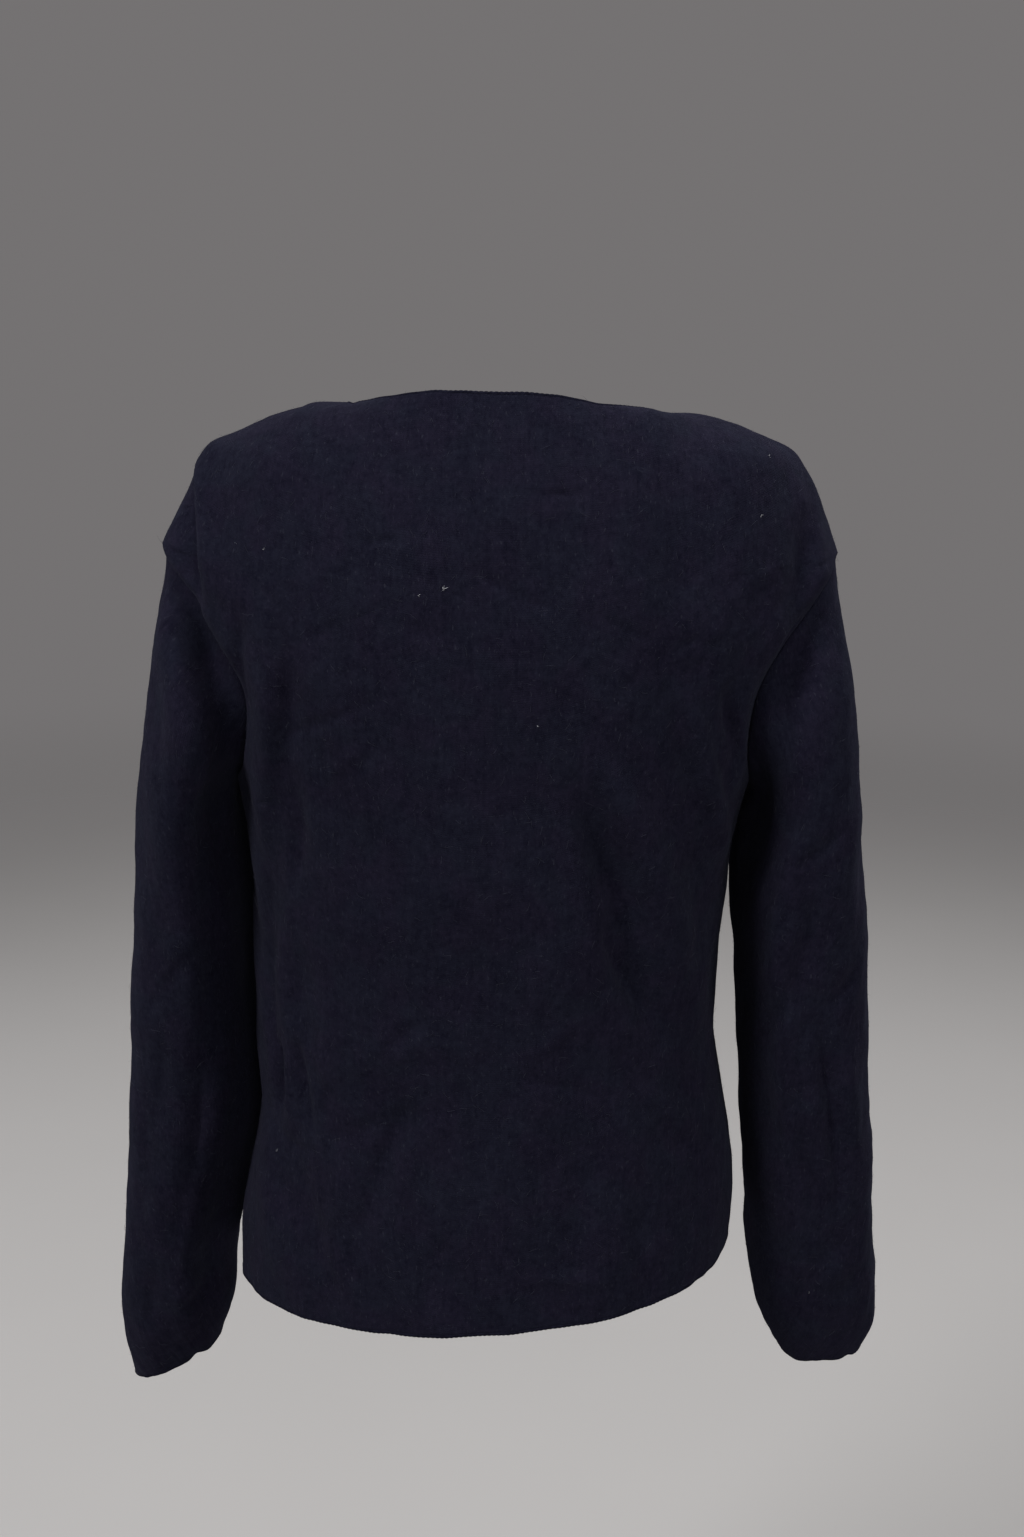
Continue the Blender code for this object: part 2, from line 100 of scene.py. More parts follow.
# A crease, in millimetres: points of its line as seen square on (x, z), half width on its +X or lower side and on
# the other side, depth (a ridge is negative), and where along it is deepest. Fibres: short ones, stray ones.
backPanel = {
    "side": 1,
    "slot": "back_knit",
    "flat": (0.52, 0.60),
    "area": 0.265,
    "fibres": (24000, 1100),
    "seed": 100,
    "across": 88,
    "rows": (60, 66, 122),
    "creases": [
        # the long trough from the middle of the back to the right hip, in two overlapping stretches over a
        # broad one, its branch, and the ridges beside it
        ([(-45, -206), (-58.6, -233.2), (-67.1, -257.2), (-76.7, -287), (-85.1, -326.8), (-96.2, -363.9),
          (-118, -403)], 16, 13, 6.2, 0.50),
        ([(-43, -208), (-53.1, -228.5), (-69.1, -268.5), (-83, -299), (-90, -327)], 10, 9, 7.6, 0.56),
        ([(-72, -296), (-83, -326), (-95, -356), (-112, -386), (-130, -412)], 11, 9.5, 6.6, 0.42),
        ([(-64.7, -293.7), (-71.7, -320.3), (-81.9, -341.3), (-94.2, -363), (-106, -385)], 4, 4, 3.6, 0.55),
        ([(-70, -218), (-88, -252), (-101, -285), (-113, -322), (-129, -372)], 9, 12, -8.5, 0.46),
        ([(-55, -193), (-66, -208), (-80, -233), (-90, -260)], 6, 8, -2, 0.55),
        ([(-38, -240), (-40.2, -266.5), (-43, -300)], 4, 4, 1.4, 0.50),
        # beside the left sleeve: a broad ridge that catches the light, the hollows next to it, and a fold line
        # lower down
        ([(135, -112), (133.5, -151.5), (133, -176), (135.5, -215.4), (140, -256.3), (144.5, -298.4),
          (149, -340)], 11, 7, -8, 0.45),
        ([(151.5, -115), (151.9, -135), (152.4, -153.1), (152.1, -171.7), (150, -198)], 4, 4, 3.6, 0.50),
        ([(123, -133), (121.8, -147.7), (123.3, -175.2), (125.4, -201), (124.5, -230)], 4.5, 9, 3.6, 0.60),
        ([(119, -216), (117.8, -232.5), (116.9, -245.2), (119.1, -271.8), (122, -300)], 5, 6, 5, 0.42),
        ([(136, -288), (140.5, -310), (143, -339.6), (144.5, -382.3), (142.5, -408.6), (138, -428)],
         3.5, 5, 5, 0.55),
        ([(126, -295), (129, -340), (130, -378), (126, -404)], 4.5, 6, -3, 0.50),
        ([(118, -330), (119, -372), (113, -404)], 6, 10, 2.6, 0.50),
        # the pulled spot above the left hip and what radiates from it
        ([(139, -402), (137.5, -420), (137, -433), (139, -460)], 4, 5, 8.5, 0.50),
        ([(122.5, -397), (118.7, -424.3), (115.6, -437.8), (112, -460)], 2.8, 3.8, 5.6, 0.45),
        ([(130, -404), (129, -430), (126.5, -452), (131, -478)], 5, 4, -4, 0.50),
        ([(106, -394), (104, -412), (101, -426)], 4.5, 5.5, -2.4, 0.50),
        ([(144, -464), (123, -471), (105, -469)], 3, 3, 1.4, 0.40),
        ([(104, -461), (80, -448), (63.3, -437.2), (46, -424.5)], 5, 5, 1.8, 0.50),
        ([(142, -460), (145, -490), (143, -530), (140, -566)], 10, 8, -4.8, 0.35),
        ([(116, -480), (114.2, -503.6), (106.7, -533.1), (95, -568)], 8.5, 7, 4, 0.40),
        ([(148, -490), (125, -512), (98, -524)], 8, 8, 1.4, 0.40),
        # beside the right sleeve
        ([(-112, -155), (-116.5, -171.4), (-124, -194.9), (-130.8, -221.2), (-136.6, -242.2), (-142.5, -264),
          (-150, -290)], 5.5, 6, -6.6, 0.55),
        ([(-139, -160), (-139.9, -175), (-146, -198.3), (-152, -224)], 4.5, 5, 4.8, 0.40),
        ([(-102, -150), (-108, -180), (-117, -215), (-125, -250)], 6, 5, 3, 0.50),
        ([(-118, -250), (-129, -285), (-137, -325)], 8, 7, 2.6, 0.50),
        ([(-105, -142), (-117, -136), (-131, -143)], 3.5, 4, 1.4, 0.50),
        ([(-138, -330), (-133, -372), (-139, -415)], 7, 9, -3.2, 0.50),
        # soft arcs across the waist
        ([(94, -416), (62, -392), (30.8, -385), (6, -388)], 7, 6, -1.6, 0.40),
        ([(72, -404), (54.4, -383.4), (46.9, -376), (35, -367)], 4, 4, 2, 0.45),
        ([(-12, -403), (-23.5, -405.2), (-44.7, -412.7), (-63.6, -418.3), (-80, -422)], 3.5, 4, 1.4, 0.45),
        ([(-18, -396), (-42, -380), (-52, -362)], 6, 6, -1.4, 0.50),
        ([(-20.5, -372), (-20, -390), (-19.5, -406)], 3.5, 3.5, -1.2, 0.50),
        ([(-96, -418), (-106, -428.8), (-123.9, -451.9), (-142, -479)], 5, 5, -3.4, 0.50),
        ([(-110, -438), (-126, -462), (-148, -474)], 7, 6, 2.6, 0.60),
        # from the waist down to the hem
        ([(42, -424), (56, -440), (64, -459), (72, -487), (79, -511), (87, -550)], 5.5, 6.5, 4.2, 0.40),
        ([(20, -428), (40, -448), (53, -486), (64, -530)], 6, 9, -2.6, 0.40),
        ([(88, -456), (92, -485), (96, -515)], 6, 6, -2.2, 0.50),
        ([(8, -424), (6, -460), (7, -500)], 5, 5, 2.2, 0.45),
        ([(-56, -440), (-59, -470), (-60, -505), (-63, -540)], 6, 6, 2.4, 0.45),
        ([(-96, -470), (-99, -505), (-98, -545)], 8, 7, 2.2, 0.50),
        ([(-18, -535.5), (-28.3, -536.8), (-78.7, -541.9), (-92, -544)], 4, 4, -1.2, 0.40),
        ([(30, -508), (34, -535), (35, -565)], 6, 7, 2, 0.60),
        # faint creases left from folding, over the shoulder blades
        ([(-12, -52.5), (-21.9, -52.3), (-33.5, -52.6), (-45.1, -51.9), (-58, -53)], 2.4, 2.6, 1.9, 0.50),
        ([(18, -92), (8.4, -97.5), (-3.2, -104), (-18.3, -112.8), (-40, -118)], 3.2, 3.2, 1.6, 0.45),
        ([(88, -80), (74.8, -80.9), (60.8, -80), (48, -82)], 2.8, 2.8, 1.3, 0.50),
        ([(78, -28), (71.8, -33.7), (59.5, -44.7), (47.4, -55.7), (40, -62)], 2.8, 2.8, 1.5, 0.50),
        ([(-52, -116), (-60.1, -120.4), (-71.9, -126.1), (-84.9, -131.9), (-96, -135)], 3.2, 3.2, 1.1, 0.50),
        ([(-80.2, -62), (-80.2, -70.6), (-80, -95.4), (-82, -106)], 3, 3, 1.4, 0.50),
        ([(125, -198), (105.4, -188.5), (89.9, -181.5), (76.6, -175.5), (62, -170)], 4, 3.2, 1.7, 0.32),
        ([(118, -142), (90.8, -129.2), (69.6, -119.2), (56, -112)], 3.2, 3.2, 0.6, 0.45),
        ([(101, -224), (85, -208), (70, -196)], 4, 4, -1.4, 0.50),
        ([(66, -125.5), (39.7, -131.5), (25, -140)], 3.6, 4, 0.7, 0.50),
    ],
    # the dropped shoulders
    "shoulderCreases": [
        ([(196, -36), (191.5, -54), (188, -80), (185, -104), (180, -130)], 8, 6, 13.5, 0.42),
        ([(183, -36), (180, -62), (176, -92), (170, -124)], 6, 8, -3.1, 0.45),
        ([(-188, -56), (-189, -85), (-185, -118), (-178, -148)], 10, 7, 6.1, 0.50),
        ([(-194, -63), (-197.2, -90), (-192.5, -114)], 5, 5, -2.4, 0.50),
    ],
}

frontPanel = {
    "side": -1,
    "slot": "front_knit",
    "flat": (0.52, 0.59),
    "area": 0.252,
    "fibres": (14000, 800),
    "seed": 200,
    "across": 76,
    "rows": (36, 54, 100),
    "creases": [
        # from the underarms towards the middle
        ([(142, -175), (118, -202), (98, -238), (85, -280)], 12, 10, 8.8, 0.40),
        ([(-144, -170), (-124, -200), (-106, -225), (-82, -246)], 11, 12, 9.7, 0.35),
        ([(-147, -215), (-130, -245), (-108, -270)], 8, 9, -5, 0.40),
        ([(148, -220), (134, -260), (124, -310)], 9, 8, -5.5, 0.45),
        # the long trough down to the left hip
        ([(44, -230), (61, -264), (76, -305), (90, -350), (113, -398)], 13, 16, 12.6, 0.45),
        ([(78, -242), (96, -286), (112, -336)], 11, 9, -4.2, 0.45),
        # down the sides
        ([(-124, -270), (-127, -315), (-124, -362)], 10, 9, 9.2, 0.50),
        ([(-142, -280), (-145, -340), (-143, -395)], 9, 8, -6.3, 0.45),
        ([(144, -340), (141, -390), (146, -435)], 8, 8, -5, 0.50),
        ([(-109, -335), (-106, -372), (-111, -410)], 8, 8, -3.4, 0.50),
        # across the waist
        ([(-150, -450), (-120, -448), (-88, -436), (-56, -430)], 10, 8, 9.2, 0.35),
        ([(-144, -472), (-118, -480), (-90, -476)], 8, 7, -4.2, 0.40),
        ([(146, -472), (116, -486), (78, -496), (40, -498)], 9, 10, 8, 0.35),
        ([(90, -423), (50, -412), (12, -416)], 8, 8, 3.4, 0.50),
        ([(-48, -396), (-14, -404), (26, -400)], 8, 9, -3.2, 0.50),
        # down to the hem
        ([(-42, -438), (-56, -480), (-64, -520), (-66, -556)], 10, 9, -5.5, 0.50),
        ([(-70, -470), (-80, -510), (-84, -550)], 7, 8, 3.5, 0.50),
        ([(32, -470), (28, -515), (30, -556)], 10, 10, 3.2, 0.55),
        ([(103, -508), (108, -535), (106, -562)], 10, 9, -4.2, 0.55),
        # faint ones over the chest
        ([(52, -103), (24, -112), (-10, -113)], 5, 5, 1.5, 0.50),
        ([(-30, -76), (-56, -88), (-75, -104)], 5, 5, 1.5, 0.50),
        ([(30, -170), (0, -183), (-32, -182)], 8, 7, 1.5, 0.50),
        ([(95, -60), (83, -85), (65, -105)], 6, 6, 1.6, 0.50),
    ],
    "shoulderCreases": [
        ([(197, -48), (190, -72), (184, -102), (176, -138)], 9, 6, 9, 0.45),
        ([(-200, -52), (-194, -78), (-187, -110), (-178, -144)], 6, 9, 10.5, 0.45),
    ],
}

# Below the armhole each sleeve's rings: outer and inner line (how far out, how high), half depth, how far forward,
# and how much further forward the inner line lies. From the turn, the last value and a share of the half width,
# the sleeve falls away towards that line. The nick: x, half width and height.
sleeveLeft = {
    "side": 1,
    "slot": "left_sleeve_knit",
    "flat": (0.36, 0.61),
    "area": 0.163,
    "fibres": (10000, 450),
    "seed": 300,
    "rings": [
        (0.2210, -0.1780, 0.1705, -0.2480, 0.0690, 0.001, 0.018, 0.10),
        (0.2280, -0.2320, 0.1680, -0.2700, 0.0690, 0.002, 0.024, 0.10),
        (0.2350, -0.3100, 0.1635, -0.3300, 0.0620, 0.003, 0.027, 0.00),
        (0.2420, -0.3900, 0.1640, -0.4000, 0.0550, 0.005, 0.026, -0.22),
        (0.2485, -0.4700, 0.1590, -0.4700, 0.0510, 0.008, 0.025, -0.26),
        (0.2550, -0.5500, 0.1745, -0.5400, 0.0480, 0.011, 0.023, -0.18),
        (0.2610, -0.6250, 0.1855, -0.6050, 0.0420, 0.013, 0.014, -0.15),
        (0.2610, -0.6680, 0.1880, -0.6410, 0.0340, 0.014, 0.008, -0.20),
        (0.2570, -0.6945, 0.1965, -0.6675, 0.0260, 0.015, 0.005, -0.20),
    ],
    "nick": (0.2096, 0.0035, 0.0030),
    "backCreases": [
        # the hollow along the seam, and soft ridges between the lit outer half and the shaded inner half
        ([(198, -85), (186, -118), (178, -146), (171, -180), (167, -220)], 15, 18, 10, 0.50),
        ([(204, -100), (196.5, -135), (190.5, -168), (187, -205), (186, -245)], 10, 13, -11, 0.50),
        ([(201, -130), (196, -170), (197, -220), (201, -270), (203, -320)], 9, 9, -3.6, 0.50),
        ([(174, -230), (179, -270), (181, -320)], 9, 9, 4.4, 0.50),
        ([(225, -200), (229, -260), (230, -320)], 8, 8, 1.8, 0.50),
        # the slanting crease at the elbow and the troughs and ridges down the forearm
        ([(233, -406), (223.9, -392.8), (209.4, -371.8), (190.1, -347), (178, -338)], 4.5, 4, 1, 0.60),
        ([(219, -372), (205, -350), (192, -333)], 5, 6, -1.2, 0.50),
        ([(185, -330), (186, -370), (189, -404), (190.8, -445), (193.5, -485), (199, -530)], 6, 7, 3.6, 0.50),
        ([(203.5, -398), (204.5, -421.5), (207.1, -456.9), (211.3, -500.8), (221, -556)], 4.5, 5, -1.2, 0.42),
        ([(177, -405), (179, -440), (185, -494.1), (200.9, -547.3)], 5, 5.5, -1, 0.45),
        ([(188, -440), (193, -470), (207, -540), (219, -584)], 6, 6, 2.2, 0.45),
        ([(215, -410), (218, -445), (224, -485)], 4, 5, 2.2, 0.45),
        ([(228, -440), (231, -500), (239, -560)], 6, 7, 2.6, 0.50),
        ([(191, -545), (195, -585), (202, -624)], 7, 7, 4.2, 0.50),
        ([(226, -574), (234, -610), (239, -645)], 6, 7, 2.4, 0.50),
        ([(220, -620), (208, -605), (198, -592)], 5, 5, -2.1, 0.50),
        ([(198, -640), (210, -654), (222, -660)], 5, 5, 1.5, 0.50),
    ],
    "frontCreases": [
        ([(176, -200), (182, -260), (186, -320)], 10, 10, 4.8, 0.50),
        ([(204, -210), (208, -280), (206, -350)], 10, 10, -3.6, 0.50),
        ([(238, -426), (218, -400), (196, -374), (180, -362)], 8, 9, 6.9, 0.45),
        ([(230, -388), (212, -365), (192, -345)], 7, 7, -3, 0.50),
        ([(208, -395), (210, -440), (215, -495)], 8, 8, 6.3, 0.45),
        ([(190, -415), (193, -480), (205, -545)], 7, 7, -3.9, 0.50),
        ([(225, -450), (230, -520), (238, -590)], 8, 7, -3.3, 0.50),
        ([(202, -520), (210, -575), (218, -625)], 7, 8, 4.2, 0.50),
        ([(188, -575), (196, -610), (204, -650)], 7, 7, 3, 0.50),
    ],
}

sleeveRight = {
    "side": -1,
    "slot": "right_sleeve_knit",
    "flat": (0.36, 0.58),
    "area": 0.160,
    "fibres": (10000, 450),
    "seed": 400,
    "rings": [
        (0.2290, -0.1720, 0.1705, -0.2480, 0.0690, 0.001, 0.022, -0.15),
        (0.2355, -0.2260, 0.1680, -0.2650, 0.0690, 0.002, 0.027, -0.20),
        (0.2465, -0.3100, 0.1645, -0.3150, 0.0620, 0.003, 0.021, -0.45),
        (0.2540, -0.3850, 0.1700, -0.3850, 0.0550, 0.005, 0.010, -0.74),
        (0.2625, -0.4700, 0.1785, -0.4700, 0.0510, 0.008, 0.010, -0.42),
        (0.2710, -0.5450, 0.1860, -0.5450, 0.0480, 0.011, 0.007, -0.65),
        (0.2780, -0.6050, 0.1920, -0.6100, 0.0420, 0.013, 0.006, -0.60),
        (0.2795, -0.6420, 0.2020, -0.6450, 0.0340, 0.014, 0.005, -0.60),
        (0.2735, -0.6620, 0.2140, -0.6680, 0.0260, 0.015, 0.004, -0.60),
    ],
    "nick": (-0.2600, 0.0035, 0.0025),
    "backCreases": [
        # the hollow along the seam, the long lit ridge below it along the inner side, and the shade beside that
        ([(-196, -115), (-188, -145), (-181, -180), (-178, -225)], 8, 8, 6, 0.50),
        ([(-190, -260), (-188.5, -311.6), (-188, -348.8), (-192.5, -383.9), (-199, -444.7), (-205, -505)],
         8, 7, -6, 0.42),
        ([(-200, -295), (-202, -313.2), (-205.1, -339.9), (-207.5, -360)], 4.5, 5.5, 3.4, 0.50),
        ([(-196, -322), (-198, -348), (-193.5, -374), (-186.2, -398.5), (-183.5, -426)], 4.5, 5, 4.2, 0.60),
        # troughs and ridges down the forearm
        ([(-213.5, -364), (-216, -391.9), (-220.5, -420), (-226, -448), (-231.5, -484.1), (-237, -515),
          (-242, -550)], 4.5, 6, 5.8, 0.52),
        ([(-208, -395), (-210, -420), (-215, -462), (-222, -510)], 5.5, 6, -3.4, 0.50),
        ([(-235, -405), (-244, -460), (-253, -505)], 6, 6, -2.6, 0.50),
        ([(-208, -470), (-216, -515), (-223, -560)], 5, 6, 3, 0.50),
        ([(-188, -285), (-197, -278.2), (-213, -264.9), (-224, -255)], 4, 5, 2.1, 0.50),
        ([(-240, -350), (-230, -368), (-218, -384)], 6, 6, 2.7, 0.50),
        ([(-245, -240), (-242, -280), (-238, -320)], 8, 8, 1.8, 0.50),
        # towards the cuff
        ([(-198, -540), (-204, -575), (-214, -612)], 8, 8, 3.6, 0.50),
        ([(-229, -600), (-238, -585), (-250, -560)], 6, 6, -2.7, 0.50),
        ([(-240, -612), (-251, -596), (-262, -578)], 6, 6, 2.4, 0.50),
        ([(-232, -630), (-242, -638), (-256, -640)], 5, 5, 1.5, 0.50),
    ],
    "frontCreases": [
        ([(-180, -200), (-186, -270), (-190, -330)], 10, 10, 4.8, 0.50),
        ([(-212, -220), (-216, -290), (-214, -350)], 10, 10, -3.9, 0.50),
        ([(-250, -452), (-230, -425), (-208, -396), (-186, -380)], 8, 9, 6.9, 0.45),
        ([(-246, -412), (-224, -386), (-202, -362)], 7, 7, -3, 0.50),
        ([(-216, -370), (-219, -430), (-225, -495)], 8, 8, 6.3, 0.50),
        ([(-200, -435), (-206, -495), (-215, -550)], 7, 7, -3.9, 0.50),
        ([(-240, -470), (-248, -530), (-256, -585)], 8, 7, -3, 0.50),
        ([(-218, -530), (-226, -575), (-234, -615)], 7, 8, 3.9, 0.50),
        ([(-210, -608), (-224, -622), (-238, -626)], 5, 5, 1.8, 0.50),
    ],
}

pieces = {
    "back_panel": backPanel,
    "front_panel": frontPanel,
    "sleeve_left": sleeveLeft,
    "sleeve_right": sleeveRight,
}

tube = {
    "around": 52,
    "rows": 208,
    "roundness": 2.4,
    "stillSeam": 0.016,
    "valleyWidth": 0.030,
    "underarmClear": 0.0010,
    "grooveDepth": 0.0007,
    "grooveWidth": 0.0018,
    "nickReach": 0.008,
}

creasing = {
    "lip": 0.32,  # how much the cloth stands up beside a crease
    "chords": 64,
    "reach": 5,  # how many half widths away the cloth lies still
    "facing": (1.6, 0.1),  # how fast a crease fades where the cloth turns away, and from where
}

# Cloth is never quite even: waves (how many, shortest and longest wavelength, spread of their directions in
# radians, height of all together, seed)
unevenness = {
    "slow": (26, 0.045, 0.110, 0.6, 0.0011, 11),
    "quick": (40, 0.014, 0.032, 0.6, 0.00028, 12),
}


def smoothThrough(stations, values, at):
    # Cubic pieces through the values, whose slopes come from the neighbours
    stations = np.asarray(stations, float)
    values = np.asarray(values, float)
    slopes = np.gradient(values, stations)
    i = np.clip(np.searchsorted(stations, at) - 1, 0, len(stations) - 2)
    width = stations[i + 1] - stations[i]
    t = (at - stations[i]) / width
    rise = values[i + 1] - values[i]
    bend = width * t * (1 - t) * ((slopes[i] - rise / width) * (1 - t) - (slopes[i + 1] - rise / width) * t)
    return values[i] + rise * t + bend


def runningLength(line):
    # Share of the line's length at each of its points
    steps = np.linalg.norm(np.diff(line, axis=0), axis=1)
    return np.concatenate([[0.0], np.cumsum(steps)]) / steps.sum()


def smoothLine(line, at):
    # The smooth line through the points, read at shares of its length
    line = np.asarray(line, float)
    stations = runningLength(line)
    return np.stack([smoothThrough(stations, column, at) for column in line.T], axis=1)


def straightLine(values, stations, at):
    # Straight from point to point, read at any stations
    return np.stack([np.interp(at, stations, column) for column in values.T], axis=1)


def unit(vectors):
    # Each vector divided by its length
    return vectors / np.maximum(np.linalg.norm(vectors, axis=-1, keepdims=True), 1e-12)


def upright(vectors, ahead):
    # The part of each vector that stands square to the way ahead, to unit length
    return unit(vectors - ahead * (vectors * ahead).sum(1, keepdims=True))


def eased(share):
    # 3s^2 - 2s^3, from 0 to 1
    share = np.clip(share, 0, 1)
    return share * share * (3 - 2 * share)


def bell(distance, width):
    # exp(-(d / width)^2)
    return np.exp(-((distance / width) ** 2))


def closedRound(grid, wraps):
    # A tube's grid with its first column again after the last
    return np.concatenate([grid, grid[:, :1]], axis=1) if wraps else grid


def normalsOf(grid, wraps):
    # Cross product of the differences along and down the grid, to unit length
    if wraps:
        ring = np.concatenate([grid[:, -1:], grid, grid[:, :1]], axis=1)
        across = (ring[:, 2:] - ring[:, :-2]) / 2
    else:
        across = np.gradient(grid, axis=1)
    return unit(np.cross(across, np.gradient(grid, axis=0)))


def cellAreas(grid):
    # Length of the cross product of each cell's upper and left side
    return np.linalg.norm(np.cross(np.diff(grid, axis=1)[:-1], np.diff(grid, axis=0)[:, :-1]), axis=2)


def halfRows(middle, edge, lift, share):
    # |x/reach|^n + |y/depth|^n = 1 from each row's middle (y, z) to its edge (x, y, z), read at shares of its
    # length. The height goes from the one to the other with a power of x.
    n = body["roundness"]
    depth = np.abs(middle[:, :1])
    edgeShare = np.abs(edge[:, 1:2]) / depth
    reach = np.abs(edge[:, :1]) / (1 - edgeShare**n) ** (1 / n)
    angle = np.linspace(0, 1, body["arcSamples"]) * np.arccos(edgeShare ** (n / 2))
    x = reach * np.sin(angle) ** (2 / n)
    y = depth * np.cos(angle) ** (2 / n)
    length = np.cumsum(np.hypot(np.diff(x, prepend=x[:, :1]), np.diff(y, prepend=y[:, :1])), axis=1)
    length /= length[:, -1:]
    x = np.array([np.interp(share, stations, values) for stations, values in zip(length, x)])
    y = np.array([np.interp(share, stations, values) for stations, values in zip(length, y)])
    z = middle[:, 1:] + (edge[:, 2:] - middle[:, 1:]) * (x / np.abs(edge[:, :1])) ** lift[:, None]
    return np.stack([np.sign(edge[:, :1]) * x, np.sign(middle[:, :1]) * y, z], axis=2)


def armholeAngles(count):
    # From the armhole's top to the underarm, halfway between even in angle and even in height
    step = np.linspace(0, 1, count + 1)
    return np.arccos(0.5 * np.cos(np.pi * step) + 0.5 * (1 - 2 * step))


def armhole(sign, angle):
    # z goes with cos(angle), y with a power of sin(angle), and x lies on the body's own outline at that depth
    heights, lefts, rights = np.array(body["reaches"]).T
    top, bottom = heights[0], heights[-1]
    z = (top + bottom) / 2 + np.cos(angle) * (top - bottom) / 2
    y = np.sign(np.sin(angle)) * body["armholeDepth"] * np.abs(np.sin(angle)) ** body["armholePointedness"]
    reach = smoothThrough(-heights, lefts if sign > 0 else rights, -z)
    n = body["roundness"]
    x = sign * reach * (1 - np.abs(y / body["depthAtArmholes"]) ** n) ** (1 / n)
    return np.stack([x, y, z], axis=1)


def valleyAt(sign, angle):
    # The seam lies in a valley that deepens with sin(angle) and leans towards the body
    side = np.where(np.sin(angle) >= 0, 1, -1)
    depth = np.where(side > 0, body["valleys"][sign, 1], body["valleys"][sign, -1])
    sunk = depth * np.abs(np.sin(angle))
    across, inwards = body["valleyLean"]
    return np.stack([-sign * across * sunk, -inwards * side * sunk, 0 * sunk], axis=1)


def panelEdge(sign, side, rows):
    # Along the shoulder, down the armhole and down the side seam to the hem
    shoulders = np.array(body["shoulders"])
    out, high = (shoulders[:, 0], shoulders[:, 1]) if sign > 0 else (shoulders[:, 2], shoulders[:, 3])
    shoulder = np.stack([sign * out, 0 * out, high], axis=1)
    shoulder = smoothLine(shoulder, np.linspace(0, 1, rows[0] + 1))
    ring = armhole(sign, side * armholeAngles(rows[1]))
    sides = np.array(body["sides"])
    tilt = np.linspace(0, body["hemTilt"], len(sides))
    seam = np.stack([sign * sides[:, 1 if sign > 0 else 2], 0 * tilt, sides[:, 0] - sign * tilt], axis=1)
    seam[0] = ring[-1]
    seam = smoothLine(seam, np.linspace(0, 1, rows[2] + 1))
    edge = np.concatenate([shoulder, ring[1:], seam[1:]])
    edge[:, 1] += side * body["seamGap"] / 2
    return edge


def panelMiddle(side, rows):
    # The middle line from neck to hem as (y, z), with as many rows as the edges
    shoulders, sides = np.array(body["shoulders"]), np.array(body["sides"])
    top = shoulders[:, 4:6] if side > 0 else shoulders[:, 6:8] * (-1, 1)
    below = sides[:, (3, 0)] if side > 0 else sides[:, (4, 0)] * (-1, 1)
    line = np.concatenate([top, below])
    stations = runningLength(line)
    shoulderEnd, armholeEnd = stations[len(top) - 1], stations[len(top)]
    at = np.concatenate([
        np.linspace(0, shoulderEnd, rows[0] + 1),
        np.linspace(shoulderEnd, armholeEnd, rows[1] + 1)[1:],
        np.linspace(armholeEnd, 1, rows[2] + 1)[1:],
    ])
    return smoothLine(line, at)


def creased(grid, outward, side, creases, free):
    # Across each crease's line the cloth sinks by (1 - lip a^2) exp(-a^2 / 2), a being the distance in half widths,
    # and along it by sin(pi s), s being the share of its length bent so that its deepest place is at one half. The
    # width goes to half at the ends with the root of the same sine. Only cloth that faces the crease's side moves,
    # along its own normal.
    x, z = grid[:, :, 0], grid[:, :, 2]
    inward = np.zeros(x.shape)
    chords = creasing["chords"]
    for points, widthPlus, widthMinus, depth, deepest in creases:
        line = smoothLine(np.array(points) * mm, np.linspace(0, 1, chords))
        run = unit(np.gradient(line, axis=0))
        reach = creasing["reach"] * max(widthPlus, widthMinus) * mm
        low, high = line.min(0) - reach, line.max(0) + reach
        near = (x > low[0]) & (x < high[0]) & (z > low[1]) & (z < high[1])
        px, pz = x[near], z[near]
        toX, toZ = px[:, None] - line[:, 0], pz[:, None] - line[:, 1]
        i = (toX**2 + toZ**2).argmin(1)
        toX, toZ = (np.take_along_axis(to, i[:, None], 1)[:, 0] for to in (toX, toZ))
        aside = run[i, 0] * toZ - run[i, 1] * toX
        along = toX * run[i, 0] + toZ * run[i, 1]
        spacing = np.linalg.norm(line[1] - line[0])
        beyond = np.maximum(np.abs(along) - spacing, 0)
        share = np.clip((i + along / spacing) / (chords - 1), 0, 1) ** (math.log(0.5) / math.log(deepest))
        swell = np.sin(np.pi * share)
        width = np.where(aside > 0, widthPlus, widthMinus) * mm * (0.5 + 0.5 * np.sqrt(swell))
        a = (aside**2 + beyond**2) / width**2
        inward[near] += depth * mm * swell * (1 - creasing["lip"] * a) * np.exp(-a / 2)
    fading, start = creasing["facing"]
    facing = eased(fading * side * outward[:, :, 1] + start)
    return grid - outward * (inward * facing * free)[:, :, None]


def wavy(grid, outward, uv, free, seed):
    # A sum of sines over the cloth's own surface, in seeded directions that run mostly across
    rise = np.zeros(grid.shape[:2])
    for count, shortest, longest, spread, height, base in unevenness.values():
        draw = np.random.default_rng(base + seed)
        wavelength = draw.uniform(shortest, longest, count)
        turn = draw.normal(0, spread, count)
        phase = draw.uniform(0, 2 * np.pi, count)
        for w, t, p in zip(wavelength, turn, phase):
            way = uv[:, :, 0] * np.cos(t) + uv[:, :, 1] * np.sin(t)
            rise += height / math.sqrt(count) * np.sin(2 * np.pi * way / w + p)
    return grid + outward * (rise * free)[:, :, None]


def clothUv(grid, wraps):
    # Metres of cloth along each row from its middle column, and down each column. Wales so keep their width, and
    # end at the seams where the piece narrows.
    closed = closedRound(grid, wraps)
    across = np.linalg.norm(np.diff(closed, axis=1, prepend=closed[:, :1]), axis=2).cumsum(1)
    down = np.linalg.norm(np.diff(closed, axis=0, prepend=closed[:1]), axis=2).cumsum(0)
    return np.stack([across - across[:, grid.shape[1] // 2][:, None], down], axis=2)


